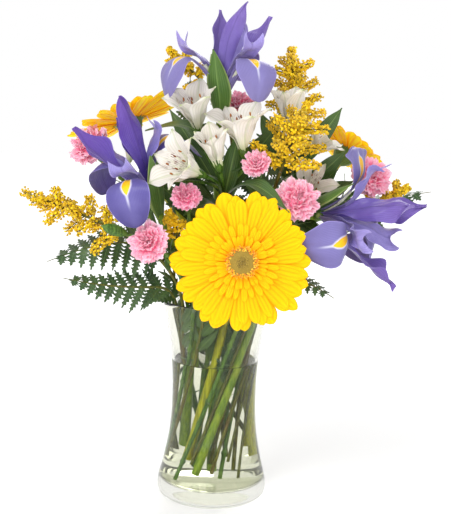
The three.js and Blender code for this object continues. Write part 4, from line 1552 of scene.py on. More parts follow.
@dataclass
class Gerbera:
    """A gerbera: rings of rays round a disc of florets, on a stem with a green cup."""

    name: str
    at: Vec
    axis: Vec
    radius: float
    slot: Slot
    rings: Sequence[tuple[int, float, float, float]]
    dish: float = 0.0
    hub: float = 13.0
    stem: float = 3.7
    cup: float = 18.0
    middle: int = 150
    florets: int = 90
    bracts: int = 34
    seed: int = 1

    def frame(self) -> np.ndarray:
        """The flower head's frame, with Z out of its face."""
        return frame_at(self.at, self.axis, (0.02, 0.03, 1))

    def build_petals(self) -> None:
        """Builds the rays, ring behind ring, and the hub that they grow from."""
        draw = np.random.default_rng(self.seed)
        frame = self.frame()
        piece = Piece(f"{self.name}_rays", 60)
        piece.lathe(frame, ((-4.2, 3), (-4.2, 11), (0, 12.8), (4, 12), (4.3, 3)), Finish.RAY, (20, 10))
        for ring, (count, share, height, half) in enumerate(self.rings):
            for i in range(count):
                reach = self.radius * share * (1 - 0.07 * draw.random())
                piece.lay(
                    Ray(turned(frame, 360 * (i + 0.5 * ring + 0.16 * draw.normal()) / count), 9.6, reach,
                        height, half * (1 + 0.08 * draw.normal()), self.radius, self.dish,
                        bow=-1.2 * share + 0.6 * draw.normal() * share, sway=1.2 * draw.normal() * share,
                        twist=0.08 * draw.normal()),
                    [Finish.RAY, Finish.RAY_UNDER], (6, 14) if share > 0.6 else (4, 9), 0.7,
                    float(draw.random()), 1.5)
        piece.build(f"{self.name}_petals", "gerbera_petal")

    def build_disc(self) -> None:
        """Builds the olive middle and the ring of small yellow florets with red specks."""
        draw = np.random.default_rng(self.seed + 50)
        frame = self.frame()
        piece = Piece(f"{self.name}_florets", 60)
        piece.lathe(frame, ((4.4, 11.2), (5.2, 11), (6.0, 8), (6.4, 4), (6.3, 0.2)), Finish.DISC_BUD,
                    (24, 12))
        for k in range(self.middle):
            r, turn = 8.9 * math.sqrt((k + 0.5) / self.middle), DISC_TURN * k
            place = turned(frame, turn) @ np.array([r, 0, 6.3 + 0.4 * math.cos(r / 4) - 0.02 * r * r, 1])
            piece.stamp(bead(6, 4), moved(frame, place[:3]), (0.55, 0.55, 0.9), Finish.DISC_BUD,
                        float(draw.random()))
        for k in range(self.florets):
            r = 9.2 + 4.0 * ((k * 0.618) % 1)
            move = turned(frame, 360 * k / self.florets + 2 * draw.normal())
            height = 6.3 - 0.25 * (r - 9)
            start = in_frame((r - 1.2, 0, height - 1.6), move)
            end = in_frame((r + 1.3, 0.5 * draw.normal(), height + 1.0), move)
            face = move[:3, 2] * 0.8 - move[:3, 0] * 0.6
            piece.lay(Leaf(start, end, face, (0.4, 0.75, 0.7, 0.2), fold=0.4), [Finish.DISC_RAY], (2, 3),
                      0.35, 0.35 + 0.65 * float(draw.random()))
            if k % 2:
                spot = moved(move, in_frame((r + 0.2, 0.8, height + 0.9), move))
                piece.stamp(bead(6, 4), spot, (0.5, 0.5, 0.7), Finish.DISC_RAY, 0.0)
        piece.build(f"{self.name}_disc", "gerbera_disc")

    def build_stem(self) -> None:
        """Builds the stem, the green cup and its bracts."""
        frame = self.frame()
        foot = in_frame((0, 0, 1 - self.cup), frame)
        piece = Piece(f"{self.name}_stalk")
        piece.run(self.slot.route(foot, self.axis), cut_foot(self.stem), Finish.PALE_STEM, (14, 90))
        outline = ((-self.cup, self.stem), (-15, 5.4), (-11, 8.6), (-7, 10), (-4.6, 10.4), (-4.5, 3))
        piece.lathe(frame, outline, Finish.CUP, (20, 14))
        for k in range(self.bracts):
            row = k % 2
            move = turned(frame, 360 * k / self.bracts)
            spine = ((4.2 + 2 * row, -17 + 3.5 * row), (9.2 + row, -12 + 3.5 * row), (11.8 + row, -5.5 + row),
                     (13.5 + 3 * row, -3.8))
            piece.lay(Petal(move, spine, (1.1, 1.5, 1.2, 0.1), cup=0.15), [Finish.CUP], (2, 6), 0.5,
                      (k % 5) / 5)
        piece.build(f"{self.name}_stem", "pale_stem")

    def build(self) -> None:
        """Builds the three pieces."""
        self.build_petals()
        self.build_disc()
        self.build_stem()


FRILL_CORE = ((-0.6, 0.16), (-0.4, 0.3), (-0.1, 0.5), (0.2, 0.42), (0.36, 0.1))
FRILL_RINGS = (
    (6, 0.98, 0.0, 0.9), (6, 0.9, 0.2, 0.84), (5, 0.72, 0.38, 0.76), (5, 0.5, 0.5, 0.66),
    (4, 0.28, 0.58, 0.5), (3, 0.1, 0.6, 0.36))


@dataclass(frozen=True)
class Head:
    """A carnation's head: its middle, the way it faces and its radius."""

    at: Vec
    axis: Vec
    radius: float
    deep: bool = False


@dataclass
class CarnationSpray:
    """A spray of small carnations: frilled heads and buds on one branched stem."""

    name: str
    slot: Slot
    heads: Sequence[Head]
    buds: Sequence[tuple[Vec, Vec]] = ()
    stem: float = 1.7
    twig: float = 1.4
    depth: float = 0.62
    calyx: float = 15.0
    low_leaves: Sequence[float] = (84, 120, 154)
    high_leaves: Sequence[float] = (0.64, 0.72, 0.8, 0.88)
    seed: int = 1

    def build_head(self, head: Head, index: int) -> None:
        """Builds one head from rings of frilled petals, the outer ones spread and the inner ones upright.

        Args:
            head: The head.
            index: Its number.
        """
        draw = np.random.default_rng(self.seed * 10 + index)
        frame = frame_at(head.at, head.axis, (0.1, 0.2, 1))
        piece = Piece(f"{self.name}_frills_{index}", 70)
        skin = Finish.CARNATION_DEEP if head.deep else Finish.CARNATION
        piece.lathe(frame, [(head.radius * z, head.radius * r) for z, r in FRILL_CORE], skin, (12, 8), 0.9)
        for ring, (count, out, up, half) in enumerate(FRILL_RINGS):
            for i in range(count):
                turn = 360 * (i + 0.5 * ring + 0.22 * draw.normal()) / count
                # The shade number rises ring by ring inwards, plus a random tone: inner petals get painted
                # shade, deeper pink.
                piece.lay(Frill(turned(frame, turn), head.radius, out * (1 - 0.06 * draw.random()),
                                up + 0.09 * draw.normal(), half, 5 + 4 * draw.random(),
                                6.28 * draw.random(), 0.15 + 0.13 * draw.random()),
                          [skin], (28, 9), 0.3, float(np.clip(0.12 * ring + 0.5 * draw.random(), 0, 1)))
        piece.build(f"{self.name}_head_{index}", "carnation_petal")

    def build_stem(self) -> None:
        """Builds the stem with its nodes, its branches, the calyces and the buds."""
        piece = Piece(f"{self.name}_stalk")
        green = Finish.CARNATION_STEM
        ends = [np.asarray(h.at, float) + unit(h.axis) * (2 - self.depth * h.radius - self.calyx)
                for h in self.heads]
        first = self.heads[0]
        route = self.slot.route(ends[0], first.axis)
        piece.run(route, noded(self.stem, 7), green, (8, 110))
        fork = self.slot.fork(ends[0], first.axis)
        for head, end in zip(self.heads, ends):
            if head is not first:
                piece.run(branch(fork, end, head.axis), noded(self.twig, 3), green, (7, 30))
            frame = frame_at(head.at, head.axis)
            neck = -self.depth * head.radius - GAP
            piece.lathe(frame, ((neck - self.calyx, self.twig), (neck - 12, 2.9), (neck - 7, 4.1),
                                (neck - 2.5, 4.5), (neck, 3.9)), green, (12, 12), ribs=(6, 0.03))
            for k in range(5):
                spine = ((4.2, neck - 3), (4.5, neck), (4.9, neck + 2.6))
                piece.lay(Petal(turned(frame, 72 * k), spine, (2, 1.6, 0.1), cup=0.2), [green], (2, 4), 0.5)
        for at, axis in self.buds:
            frame = frame_at(at, axis)
            outline = ((-10, self.twig), (-6, 3.6), (0, 4.9), (5, 4.7), (10, 3), (14, 0.2))
            piece.lathe(frame, outline, green, (12, 16), ribs=(5, 0.06))
            end = in_frame((0, 0, -9), frame)
            piece.run(branch(fork, end, axis), self.twig, green, (7, 24))
        low = [route.share_at(height) for height in self.low_leaves]
        for s in (*low, *self.high_leaves):
            at = route.frame(s)
            reach = 0.4 if s in low else 1
            for turn in (0, 180):
                side = turned(at, turn + 430 * s)
                end = in_frame(np.array([20, 3, 26]) * reach, side)
                piece.lay(Leaf(at[:3, 3], end, side[:3, 2] - 0.6 * side[:3, 0], (1.3, 1.7, 1.2, 0.1), arch=4),
                          [Finish.SLIM_LEAF], (4, 12), 0.5)
        piece.build(f"{self.name}_stem", "leaf")

    def build(self) -> None:
        """Builds the heads and the stem."""
        for i, head in enumerate(self.heads):
            self.build_head(head, i + 1)
        self.build_stem()


INNER_TEPAL = (1.2, 3, 5, 6.4, 4.8, 0.6)
OUTER_TEPAL = (2, 4.6, 7.8, 9.6, 7.6, 0.8)


@dataclass(frozen=True)
class Lily:
    """One alstroemeria flower: its base, the way it faces, and how far it is open."""

    base: Vec
    axis: Vec
    open: float
    turn: float = 0.0
    length: float = LILY_LENGTH


@dataclass
class Alstroemeria:
    """An alstroemeria stem with white lily-like flowers, a bud and leaves."""

    name: str
    slot: Slot
    umbel: Vec
    lilies: Sequence[Lily]
    buds: Sequence[tuple[Vec, Vec]] = ()
    leaves: Sequence[tuple[Vec, Vec, float, Vec]] = ()
    foliage: int = 10
    stem: float = 2.4
    pedicel: float = 1.4
    heading: Vec = (0, -0.15, 1)

    def build_lily(self, lily: Lily, index: int) -> None:
        """Builds a funnel with three broad and three narrow tepals, and the stamens between them.

        Args:
            lily: The flower.
            index: Its number.
        """
        frame = frame_at(lily.base, lily.axis, (0.1, 0.1, 1))
        piece = Piece(f"{self.name}_lily_{index}")
        length, wide = lily.length, lily.open
        piece.lathe(frame, ((0, 1.6), (3, 3), (6, 4), (9, 3.9), (0.3 * length, 5)), Finish.GREEN_STEM,
                    (12, 10), ribs=(6, 0.08))
        for i in range(6):
            inner = i % 2
            spine = [(out - 2 * inner, length * up * (1 - 0.04 * inner)) for out, up in (
                (3.0, 0.14), (5.4 + 3 * wide, 0.42), (9 + 13 * wide, 0.74 - 0.1 * wide),
                (13 + 24 * wide, 1 - 0.28 * wide))]
            half = [h * length / LILY_LENGTH for h in (INNER_TEPAL if inner else OUTER_TEPAL)]
            front = Finish.TEPAL_DASHED if inner else Finish.TEPAL
            piece.lay(Petal(turned(frame, lily.turn + 60 * i), spine, half, cup=0.2 if inner else 0.26,
                            ruffle=1.2, wave=0.8, phase=1.3 * i, keel=0.8, twist=14 * math.sin(2.4 * i)),
                      [front, Finish.TEPAL], (12, 26), 0.55, crowd=1.2)
        for i in range(6):
            move = turned(frame, lily.turn + 60 * i + 24)
            out, up = 3.4 + 7 * wide + (i % 3), length * (0.66 + 0.05 * (i % 2))
            tip = in_frame((out, 0, up), move)
            piece.run(Route([in_frame((1.4, 0, 0.25 * length), move),
                             in_frame((out * 0.7, 0, up * 0.7), move), tip]), 0.4,
                      Finish.FILAMENT, (5, 6))
            piece.stamp(bead(8, 5), moved(move, tip), (0.8, 0.8, 2), Finish.ANTHER, (i % 3) / 2)
        piece.build(f"{self.name}_flower_{index}", "alstroemeria_petal")

    def build_bud(self, base: Vec, axis: Vec, index: int) -> None:
        """Builds a closed bud, whose folded tepals show as ribs.

        Args:
            base: Its foot.
            axis: Its heading.
            index: Its number.
        """
        piece = Piece(f"{self.name}_closed_{index}")
        piece.lathe(frame_at(base, axis), ((0, 1.6), (5, 3.4), (11, 4.9), (18, 5.4), (25, 3.6), (30, 0.2)),
                    Finish.TEPAL, (18, 24), ribs=(3, 0.09))
        piece.build(f"{self.name}_bud_{index}", "alstroemeria_petal")

    def build_stem(self) -> None:
        """Builds the stem, the pedicels and the leaves."""
        piece = Piece(f"{self.name}_stalk")
        green = Finish.GREEN_STEM
        route = self.slot.route(self.umbel, self.heading)
        piece.run(route, cut_foot(self.stem), green, (10, 80))
        top = frame_at(self.umbel, self.heading)
        piece.stamp(bead(10, 6), top, (3.6, 3.6, 3.6), green)
        for base, axis in [(lily.base, lily.axis) for lily in self.lilies] + list(self.buds):
            end = np.asarray(base, float) - unit(axis)
            piece.run(branch(self.umbel, end, axis), lambda s, _: self.pedicel * (1 + 0.4 * s**6), green,
                      (7, 22))
        for start, end, arch, face in self.leaves:
            piece.lay(Leaf(start, end, face, (1.4, 5.6, 7.4, 7.6, 5.6, 0.2), arch, wave=1.0), [Finish.LEAF],
                      (10, 26), 0.8)
        tuck_leaves(piece, route, 8, 5)
        for k in range(self.foliage):
            share = (k + 0.5) / self.foliage
            at = turned(route.frame(0.66 + 0.33 * share), GOLDEN_TURN * k)
            sprout(piece, at, (26 - 6 * share, 4, 34), (1.2, 4.4, 6.4, 6.2, 4.2, 0.2), 6, (8, 18), 0.7,
                   (k % 4) / 3, 1.2)
        piece.build(f"{self.name}_stem", "leaf")

    def build(self) -> None:
        """Builds the flowers, the buds and the stem."""
        for i, lily in enumerate(self.lilies):
            self.build_lily(lily, i + 1)
        for i, (base, axis) in enumerate(self.buds):
            self.build_bud(base, axis, i + 1)
        self.build_stem()


@dataclass
class Goldenrod:
    """A goldenrod: a plume of twigs set with small golden florets, on a stem with slim leaves."""

    name: str
    slot: Slot
    plume: Vec
    tip: Vec
    twigs: int
    spread: float
    thick: float = 4.6
    stem: float = 1.6
    top_florets: int = 240
    florets_per_mm: float = 3.4
    seed: int = 1

    def droop(self, s: float) -> np.ndarray:
        """The place at a share of the plume's middle, which sags to its tip."""
        heading = np.asarray(self.tip, float) - self.plume
        return np.asarray(self.plume) + heading * s + (0, 0, -0.06 * np.linalg.norm(heading) * s * s)

    def _florets(self, piece: Piece, route: Route, count: int, draw: np.random.Generator) -> None:
        """Sets florets round a twig, closer together and smaller towards its tip, those near the twig darker as
        painted shade.

        Args:
            piece: The piece they join.
            route: The twig.
            count: How many.
            draw: The random draws.
        """
        for k in range(count):
            s = 0.1 + 0.9 * (k + 0.5) / count
            frame = turned(route.frame(s), GOLDEN_TURN * k + 20 * draw.normal())
            clump = 0.72 + 0.28 * math.sin(0.55 * k)
            reach = self.thick * (1 - 0.45 * s) * clump * (0.25 + 0.85 * draw.random())
            way = frame[:3, 0] * 0.9 + frame[:3, 2] * 0.5
            spot = frame_at(frame[:3, 3] + frame[:3, 0] * reach, way, frame[:3, 1])
            size = 1.22 * (1 - 0.25 * s) * (0.8 + 0.45 * draw.random())
            # The shade number is partly random tone, and lower for florets near the twig: painted shade inside
            # the plume.
            piece.stamp(floret(), spot, (size, size, size * 1.15), Finish.GOLD,
                        float(np.clip(0.15 + 0.9 * draw.random() * (0.4 + reach / self.thick), 0, 1)))

    def build_plume(self) -> None:
        """Builds the twigs and their florets."""
        draw = np.random.default_rng(self.seed)
        heading = np.asarray(self.tip, float) - self.plume
        piece = Piece(f"{self.name}_gold", 40)
        wood = Finish.GOLDENROD_STEM
        middle = Route([self.droop(s) for s in np.linspace(0, 0.97, 12)])
        piece.run(middle, lambda s, _: self.stem * (1 - 0.6 * s), wood, (6, 14))
        self._florets(piece, Route([self.droop(s) for s in np.linspace(0.3, 1, 8)]), self.top_florets, draw)
        frame = frame_at((0, 0, 0), heading, (0.13, -0.99, 0.1))
        for i in range(self.twigs):
            s = 0.02 + 0.8 * i / self.twigs
            out = in_frame(around(GOLDEN_TURN * i, 1, 0), frame)
            length = self.spread * (1 - 0.5 * s)
            ahead = unit(unit(heading) * 0.6 + out)
            start = self.droop(s)
            route = Route([start + ahead * k * length + (0, 0, -0.15 * length * k * k)
                           for k in np.linspace(0, 1, 7)])
            piece.run(route, lambda q, _: 0.7 * (1 - 0.5 * q), wood, (5, 8))
            self._florets(piece, route, int(self.florets_per_mm * length) + 20, draw)
        piece.build(f"{self.name}_plume", "goldenrod_floret")

    def build_stem(self) -> None:
        """Builds the stem and the slim leaves near its plume."""
        heading = np.asarray(self.tip, float) - self.plume
        end = np.asarray(self.plume) - unit(heading) * 2 * GAP
        route = self.slot.route(end, heading)
        piece = Piece(f"{self.name}_stalk")
        piece.run(route, cut_foot(self.stem), Finish.GOLDENROD_STEM, (8, 80))
        tuck_leaves(piece, route, 6, 3.6)
        for k in range(5):
            at = turned(route.frame(0.72 + 0.055 * k), GOLDEN_TURN * k)
            sprout(piece, at, (13, 2, 20), (0.6, 2.4, 2.2, 0.1), 2, (4, 10), 0.4)
        piece.build(f"{self.name}_stem", "pale_stem")

    def build(self) -> None:
        """Builds the plume and the stem."""
        self.build_plume()
        self.build_stem()


TOOTH = 3.4
FEWEST_MOST_TEETH = (4, 11)


@dataclass
class Fern:
    """A leatherleaf frond: pairs of leaflets, each cut into pointed teeth, on a rib."""

    name: str
    slot: Slot
    root: Vec
    tip: Vec
    face: Vec
    arch: float = 10.0
    pairs: int = 6
    widest: float = 0.38
    sag: float = 0.25
    cut: float = 0.64
    lower: int = 3
    sprigs: int = 6
    bare: float = 0.05
    leafy: float = 0.87
    stalk: float = 1.3

    def _axes(self) -> tuple[np.ndarray, np.ndarray, np.ndarray, float]:
        """The frond's way ahead, up and across, and its length.

        Returns:
            Three directions and the length.
        """
        ahead = np.asarray(self.tip, float) - self.root
        up = square(self.face, ahead)
        return ahead, up, unit(np.cross(up, ahead)), float(np.linalg.norm(ahead))

    def on_frond(self, x: float, y: float) -> np.ndarray:
        """The place at distances across and along the arched, drooping frond, in shares of its length.

        Args:
            x: The distance across.
            y: The distance along.

        Returns:
            The place.
        """
        ahead, up, across, length = self._axes()
        lift = self.arch * math.sin(math.pi * min(max(y, 0), 1)) - self.sag * abs(x) * length
        return np.asarray(self.root, float) + ahead * y + across * x * length + up * lift

    def _leaflet(self, piece: Piece, start: np.ndarray, end: np.ndarray, up: np.ndarray, wide: float,
                 phase: int) -> None:
        """Adds a leaflet, whose edges are cut into pointed teeth that lean to its tip.

        Args:
            piece: What it is added to.
            start: Where it leaves the frond's rib.
            end: Its tip.
            up: The way its upper side faces.
            wide: Half its width at its root.
            phase: Sets its shade apart.
        """
        length = float(np.linalg.norm(end - start))
        x = (end - start) / length
        z = unit(up - x * up.dot(x))
        y = np.cross(z, x)
        teeth = int(np.clip(round(length / TOOTH), *FEWEST_MOST_TEETH))

        def blade(s: np.ndarray, t: np.ndarray) -> np.ndarray:
            """Places at shares along and across a leaflet.

            Args:
                s: Shares along, from 0 to 1.
                t: Shares across, from -1 to 1.

            Returns:
                The places, a row for each share.
            """
            tooth = np.mod(s * teeth + 1e-6, 1)
            half = wide * spline((0.75, 1, 0.95, 0.7, 0.4, 0.05), s) * (0.4 + 0.9 * tooth)
            out = length * (s + 0.45 * t * t * tooth * (1 - s) / teeth)
            lift = 0.15 * half * t * t - 0.0022 * out**2 + 0.35 * np.sin(5 * s + phase)
            return start + x * out[:, None] + y * (t * half)[:, None] + z * lift[:, None]

        piece.lay(blade, [Finish.FERN], (2, 3 * teeth), 0.45, 0.5 + 0.5 * math.sin(2.3 * phase))

    def build(self) -> None:
        """Builds the frond, and the lower leaflets on its stalk."""
        piece = Piece(f"{self.name}_frond", 60)
        wood = Finish.RACHIS
        ahead, up, _, length = self._axes()
        count = int(1.6 * self.pairs)
        room = self.leafy / count * length
        for i in range(count):
            share = i / count
            for side in (-1, 1):
                vary = 0.84 if i == 0 else 1 + 0.07 * math.sin(5 * i + 2 * side)
                reach = self.widest * (1 - 0.88 * share) * vary
                y = self.bare + self.leafy * share + 0.012 * side
                tip = self.on_frond(side * reach * 0.92, y + 0.42 * reach)
                self._leaflet(piece, self.on_frond(0, y), tip, up, self.cut * room, i)
        heading = ahead + up * self.arch * math.pi * 0.8
        start = np.asarray(self.root, float) + heading * 0.03
        stalk = self.slot.route(start, heading)
        piece.run(stalk, cut_foot(self.stalk), wood, (7, 60))
        for k in range(self.lower):
            at = stalk.frame(0.985 - 0.05 * k)
            for side in (-1, 1):
                across = unit(np.cross(up, at[:3, 2])) * side
                tip = at[:3, 3] + across * length * self.widest * (0.8 - 0.1 * k) + at[:3, 2] * 12 - up * 4
                self._leaflet(piece, at[:3, 3], tip, up, self.cut * room, k)
        for k in range(self.sprigs):
            at = stalk.frame(stalk.share_at(NECK_HEIGHT - self.slot.turn % 13 - 10 * k))
            inward = inwards(at)
            for side in (-1, 1):
                fan = side * np.cross(inward, at[:3, 2])
                tip = at[:3, 3] + 8 * inward + 20 * at[:3, 2] + (9 + (self.slot.turn * (k + 1)) % 8) * fan
                self._leaflet(piece, at[:3, 3], tip, inward, 4.2, k)
        rib = Route([self.on_frond(0, y) for y in np.linspace(0.02, 0.97, 16)])
        piece.run(rib, lambda s, _: self.stalk * (1 - 0.75 * s), wood, (6, 24))
        piece.build(self.name, "fern")


# ---- the vase and its water ----
@dataclass
class Vase:
    """A flared glass vase with a thick floor, and the water in it."""

    outside: Sequence = (
        (46.4, 0), (49.7, 4), (49.3, 15), (45.3, 31), (40, 60), (38.3, 92), (40.3, 130), (48.8, 180))
    wall: float = 2.4
    floor: float = GLASS_FLOOR
    bowl: float = 6.0
    inset: float = 7.0
    level: float = 125.0
    sides: int = 96
    steps: int = 64

    def radius(self, height: float) -> float:
        """The inside radius of the glass at a height."""
        r, z = spline(self.outside, np.linspace(0, 1, 200)).T
        return float(np.interp(height, z, r)) - self.wall

    def _bowl(self, angles: np.ndarray, gap: float = 0.0) -> list[tuple[float, float]]:
        """The curve inside from the wall, at angle 0, to the floor, at 90 degrees, pushed out by a gap.

        Args:
            angles: The angles in radians.
            gap: How far it is pushed out.

        Returns:
            Pairs of radius and height.
        """
        low = self.radius(self.floor + self.bowl)
        return [(low - (self.inset - gap) * (1 - math.cos(a)),
                 self.floor + self.bowl - (self.bowl + gap) * math.sin(a)) for a in angles]

    def _turn_up(self, name: str, profile: Sequence[tuple[float, float]], finish: Finish, node: str) -> None:
        """Raises a round clear body through a profile, ring by ring.

        Args:
            name: The object's name.
            profile: Its radii and heights, from the middle of one end to the middle of the other.
            finish: Its finish.
            node: The solid that it stands for.
        """
        first, low = profile[0]
        deselect()
        bpy.ops.mesh.primitive_circle_add(
            vertices=self.sides, radius=first * MM, fill_type="NGON", location=(0, 0, 0))
        bpy.ops.object.mode_set(mode="EDIT")
        bpy.ops.transform.translate(value=(0, 0, low * MM))
        for (r0, z0), (r1, z1) in zip(profile, profile[1:]):
            bpy.ops.mesh.extrude_region_move(TRANSFORM_OT_translate={"value": (0, 0, (z1 - z0) * MM)})
            bpy.ops.transform.resize(value=(r1 / r0, r1 / r0, 1), center_override=(0, 0, z1 * MM))
        close_up()
        made = bpy.context.object
        made.name = made.data.name = name
        bpy.ops.object.shade_smooth_by_angle(angle=math.radians(SMOOTH_GLASS))
        made.data.materials.append(paint(finish))
        made.visible_shadow = False
        dress(made, node)

    def build_glass(self) -> None:
        """Builds the glass, with a rounded rim and a floor that meets the wall in a curve."""
        outer = [tuple(p) for p in spline(self.outside, np.linspace(0, 1, self.steps))]
        top, height = self.outside[-1]
        rim = [(top - self.wall / 2 * (1 - math.cos(a)), height + self.wall / 3 * math.sin(a))
               for a in np.linspace(0, math.pi, 7)[1:-1]]
        heights = np.linspace(height, self.floor + self.bowl, self.steps - 16)
        inner = [(self.radius(z), z) for z in heights]
        bowl = self._bowl(np.linspace(0, math.pi / 2, 8)[1:])
        profile = [(outer[0][0] - 6, 0.0), *outer, *rim, *inner, *bowl, (20, self.floor), (2, self.floor)]
        self._turn_up("vase_glass", profile, Finish.GLASS, "vase")

    def build_water(self) -> None:
        """Builds the water, which touches the glass and creeps a little up it."""
        bowl = self._bowl(np.linspace(math.pi / 2, 0, 8), 0.1)
        heights = np.linspace(self.floor + self.bowl + 1, self.level + 1.2, 44)
        side = [(self.radius(z) + 0.1, z) for z in heights]
        edge = self.radius(self.level)
        creep = [(edge - d, self.level + 1.2 * math.exp(-d / 1.1)) for d in (0.5, 1.2, 2.2, 4)]
        profile = [(2, self.floor - 0.1), (20, self.floor - 0.1), *bowl, *side, *creep, (20, self.level),
                   (2, self.level)]
        self._turn_up("vase_water", profile, Finish.WATER, "water")

    def build(self) -> None:
        """Builds both pieces."""
        self.build_glass()
        self.build_water()


# ---- the studio ----
BELOW_FOOT = -0.0002


@dataclass
class Studio:
    """A plain pale floor, soft light and the camera."""

    place: Vec = (6.74, -893.0, 353.21)
    pitch: float = 8.5
    roll: float = 1.8
    focal_px: float = 1000.0
    frame_px: float = 514.0
    world: float = 0.36
    sensor: float = 36.0
    aim: Vec = (0, 0, 230)
    floor: float = 6.0
    lamps: Sequence = field(default_factory=lambda: (
        ("key", (-700, -900, 1100), 600, 9.0), ("fill", (900, -700, 600), 900, 3.0),
        ("front", (-100, -1500, 260), 900, 7.0), ("rim", (300, 900, 1000), 700, 5.0)))

    def build_floor(self) -> None:
        """Builds the floor."""
        deselect()
        bpy.ops.mesh.primitive_circle_add(vertices=64, radius=self.floor, fill_type="NGON",
                                          location=(0, 0, BELOW_FOOT))
        floor = bpy.context.object
        floor.name = "studio_floor"
        floor.data.materials.append(paint(Finish.FLOOR))

    def build_lights(self) -> None:
        """Sets the soft lamps, the white surroundings and the view transform."""
        for name, place, size, power in self.lamps:
            data = bpy.data.lights.new(name, "AREA")
            data.shape = "DISK"
            data.size = size * MM
            data.energy = power
            lamp = bpy.data.objects.new(name, data)
            frame = frame_at(np.asarray(place) * MM, np.subtract(place, self.aim), (1, 0.01, 0))
            lamp.matrix_world = Matrix(frame.tolist())
            lamp.visible_glossy = lamp.visible_transmission = name != "front"
            bpy.context.scene.collection.objects.link(lamp)
        bpy.context.scene.world = self._world()
        bpy.context.scene.view_settings.view_transform = "Standard"

    def _world(self) -> bpy.types.World:
        """White surroundings that light the flowers mostly from above and behind.

        Returns:
            The surroundings.
        """
        world = bpy.data.worlds.new("surroundings")
        world.use_nodes = True
        weave = Weave(world.node_tree)
        _, back, top = weave.split("Generated")
        above = weave.step(top, 0.0, 0.9, self.world, self.world + 0.42)
        glow = weave.math("ADD", above, weave.step(back, 0.2, 1.0, 0.0, 0.35))
        path = weave.nodes.new("ShaderNodeLightPath")
        seen = weave.math("MAXIMUM", path.outputs["Is Camera Ray"], path.outputs["Is Transmission Ray"])
        shader = weave.nodes["Background"]
        weave.feed(shader.inputs["Strength"], weave.math("MAXIMUM", glow, seen))
        weave.feed(shader.inputs["Color"], (1, 1, 1, 1))
        return world

    def build_camera(self) -> None:
        """Sets the camera as the photograph's."""
        pitch, roll = math.radians(self.pitch), math.radians(self.roll)
        ahead = np.array([0, math.cos(pitch), -math.sin(pitch)])
        up = np.array([0, math.sin(pitch), math.cos(pitch)])
        right = np.array([1.0, 0, 0])
        frame = np.eye(4)
        frame[:3, 0] = right * math.cos(roll) + up * math.sin(roll)
        frame[:3, 1] = up * math.cos(roll) - right * math.sin(roll)
        frame[:3, 2] = -ahead
        frame[:3, 3] = np.asarray(self.place) * MM
        data = bpy.data.cameras.new("camera")
        data.sensor_width = self.sensor
        data.lens = self.sensor * self.focal_px / self.frame_px
        camera = bpy.data.objects.new("camera", data)
        camera.matrix_world = Matrix(frame.tolist())
        bpy.context.scene.collection.objects.link(camera)
        bpy.context.scene.camera = camera

    def build(self) -> None:
        """Builds the studio."""
        self.build_floor()
        self.build_lights()
        self.build_camera()


# ---- the bouquet ----
FRONT_RINGS = (
    (17, 1.0, -2.7, 6.7), (17, 0.97, -1.9, 6.4), (22, 0.9, -0.9, 5), (28, 0.54, 1.0, 2.5),
    (34, 0.38, 2.6, 1.7))
SIDE_RINGS = ((17, 1.0, -2.7, 6), (17, 0.94, -1.6, 5.7), (20, 0.76, 0.2, 4), (22, 0.5, 2.2, 2.6))

IRISES = (
    # iris_top and iris_right are given pale: painted light for flowers that stand in more light than iris_left.
    Iris("iris_top", (0, -20, 362), (0.06, -0.08, 1), Slot(CENTRE, 0, 20),
         (Fall(34), Fall(300, lean=6), Fall(165, lean=-12)),
         (Standard(343, lean=2, sway=20, wide=0.78, long=0.99),
          Standard(102, lean=16, long=0.94, twist=30), Standard(225, lean=-2, long=0.88)),
         (Bract(352, 45, sway=-9), Bract(225, 40)), pale=0.6),
    Iris("iris_left", (-57, -48, 276), (-0.34, -0.34, 0.88), Slot(MIDDLE, 316, 40),
         (Fall(344), Fall(226), Fall(108, lean=-14)),
         (Standard(40, lean=-2, long=1.16), Standard(286, lean=15, twist=75, long=1.1),
          Standard(164, lean=2, sway=10, wide=0.7, long=0.86)),
         (Bract(44, 46), Bract(166, 40)),
         ((0.64, 40, 84), (0.78, 200, 62), (0.7, 320, 60))),
    Iris("iris_right", (87.4, -33, 264), (0.88, -0.46, 0.04), Slot(OUTER, 62, 26),
         (Fall(22), Fall(272, droop=0.2), Fall(147)),
         (Standard(322, lean=2), Standard(82, lean=30), Standard(202, lean=4)),
         (Bract(300, 48, lean=14), Bract(202, 44)),
         ((0.68, 150, 70), (0.8, 300, 54)), 0.42, 1.08, 1.9),
)
GERBERAS = (
    Gerbera("gerbera_front", (20, -96, 230), (0.03, -0.98, 0.17), 59, Slot(MIDDLE, 22, 34, 0.5), FRONT_RINGS,
            seed=3),
    Gerbera("gerbera_left", (-86, 26, 341), (-0.38, 0.2, 0.9), 58, Slot(OUTER - 3, 172, 34), SIDE_RINGS,
            dish=0.06, seed=4),
    Gerbera("gerbera_right", (119, 48, 318), (0.58, 0.3, 0.78), 44, Slot(OUTER - 3, 148, 46), SIDE_RINGS,
            dish=0.06, seed=5),
)
CARNATIONS = (
    CarnationSpray("carnation_a", Slot(OUTER, 330, 28),
                   (Head((-55, -90, 243), (-0.25, -0.9, 0.3), 17.5),
                    Head((-27, -74, 279), (-0.05, -0.8, 0.55), 13, deep=True)),
                   (((-84, -74, 250), (-0.8, -0.4, 0.3)),), seed=1),
    CarnationSpray("carnation_b", Slot(OUTER, 34, 16, 0.28),
                   (Head((64, -66, 279), (0.1, -0.85, 0.45), 19.5),
                    Head((30, -60, 307), (-0.1, -0.8, 0.6), 12.5)), seed=2),
    CarnationSpray("carnation_c", Slot(MIDDLE, 270, 60),
                   (Head((-114, -12, 316), (-0.5, -0.6, 0.6), 19.5),), seed=3),
    CarnationSpray("carnation_d", Slot(MIDDLE, 104, 20),
                   (Head((131, -16, 296), (0.2, -0.9, 0.4), 19),), seed=4),
    CarnationSpray("carnation_e", Slot(INNER, 150, 50),
                   (Head((15, 14, 355), (0.1, -0.42, 0.9), 16),), seed=5),
)
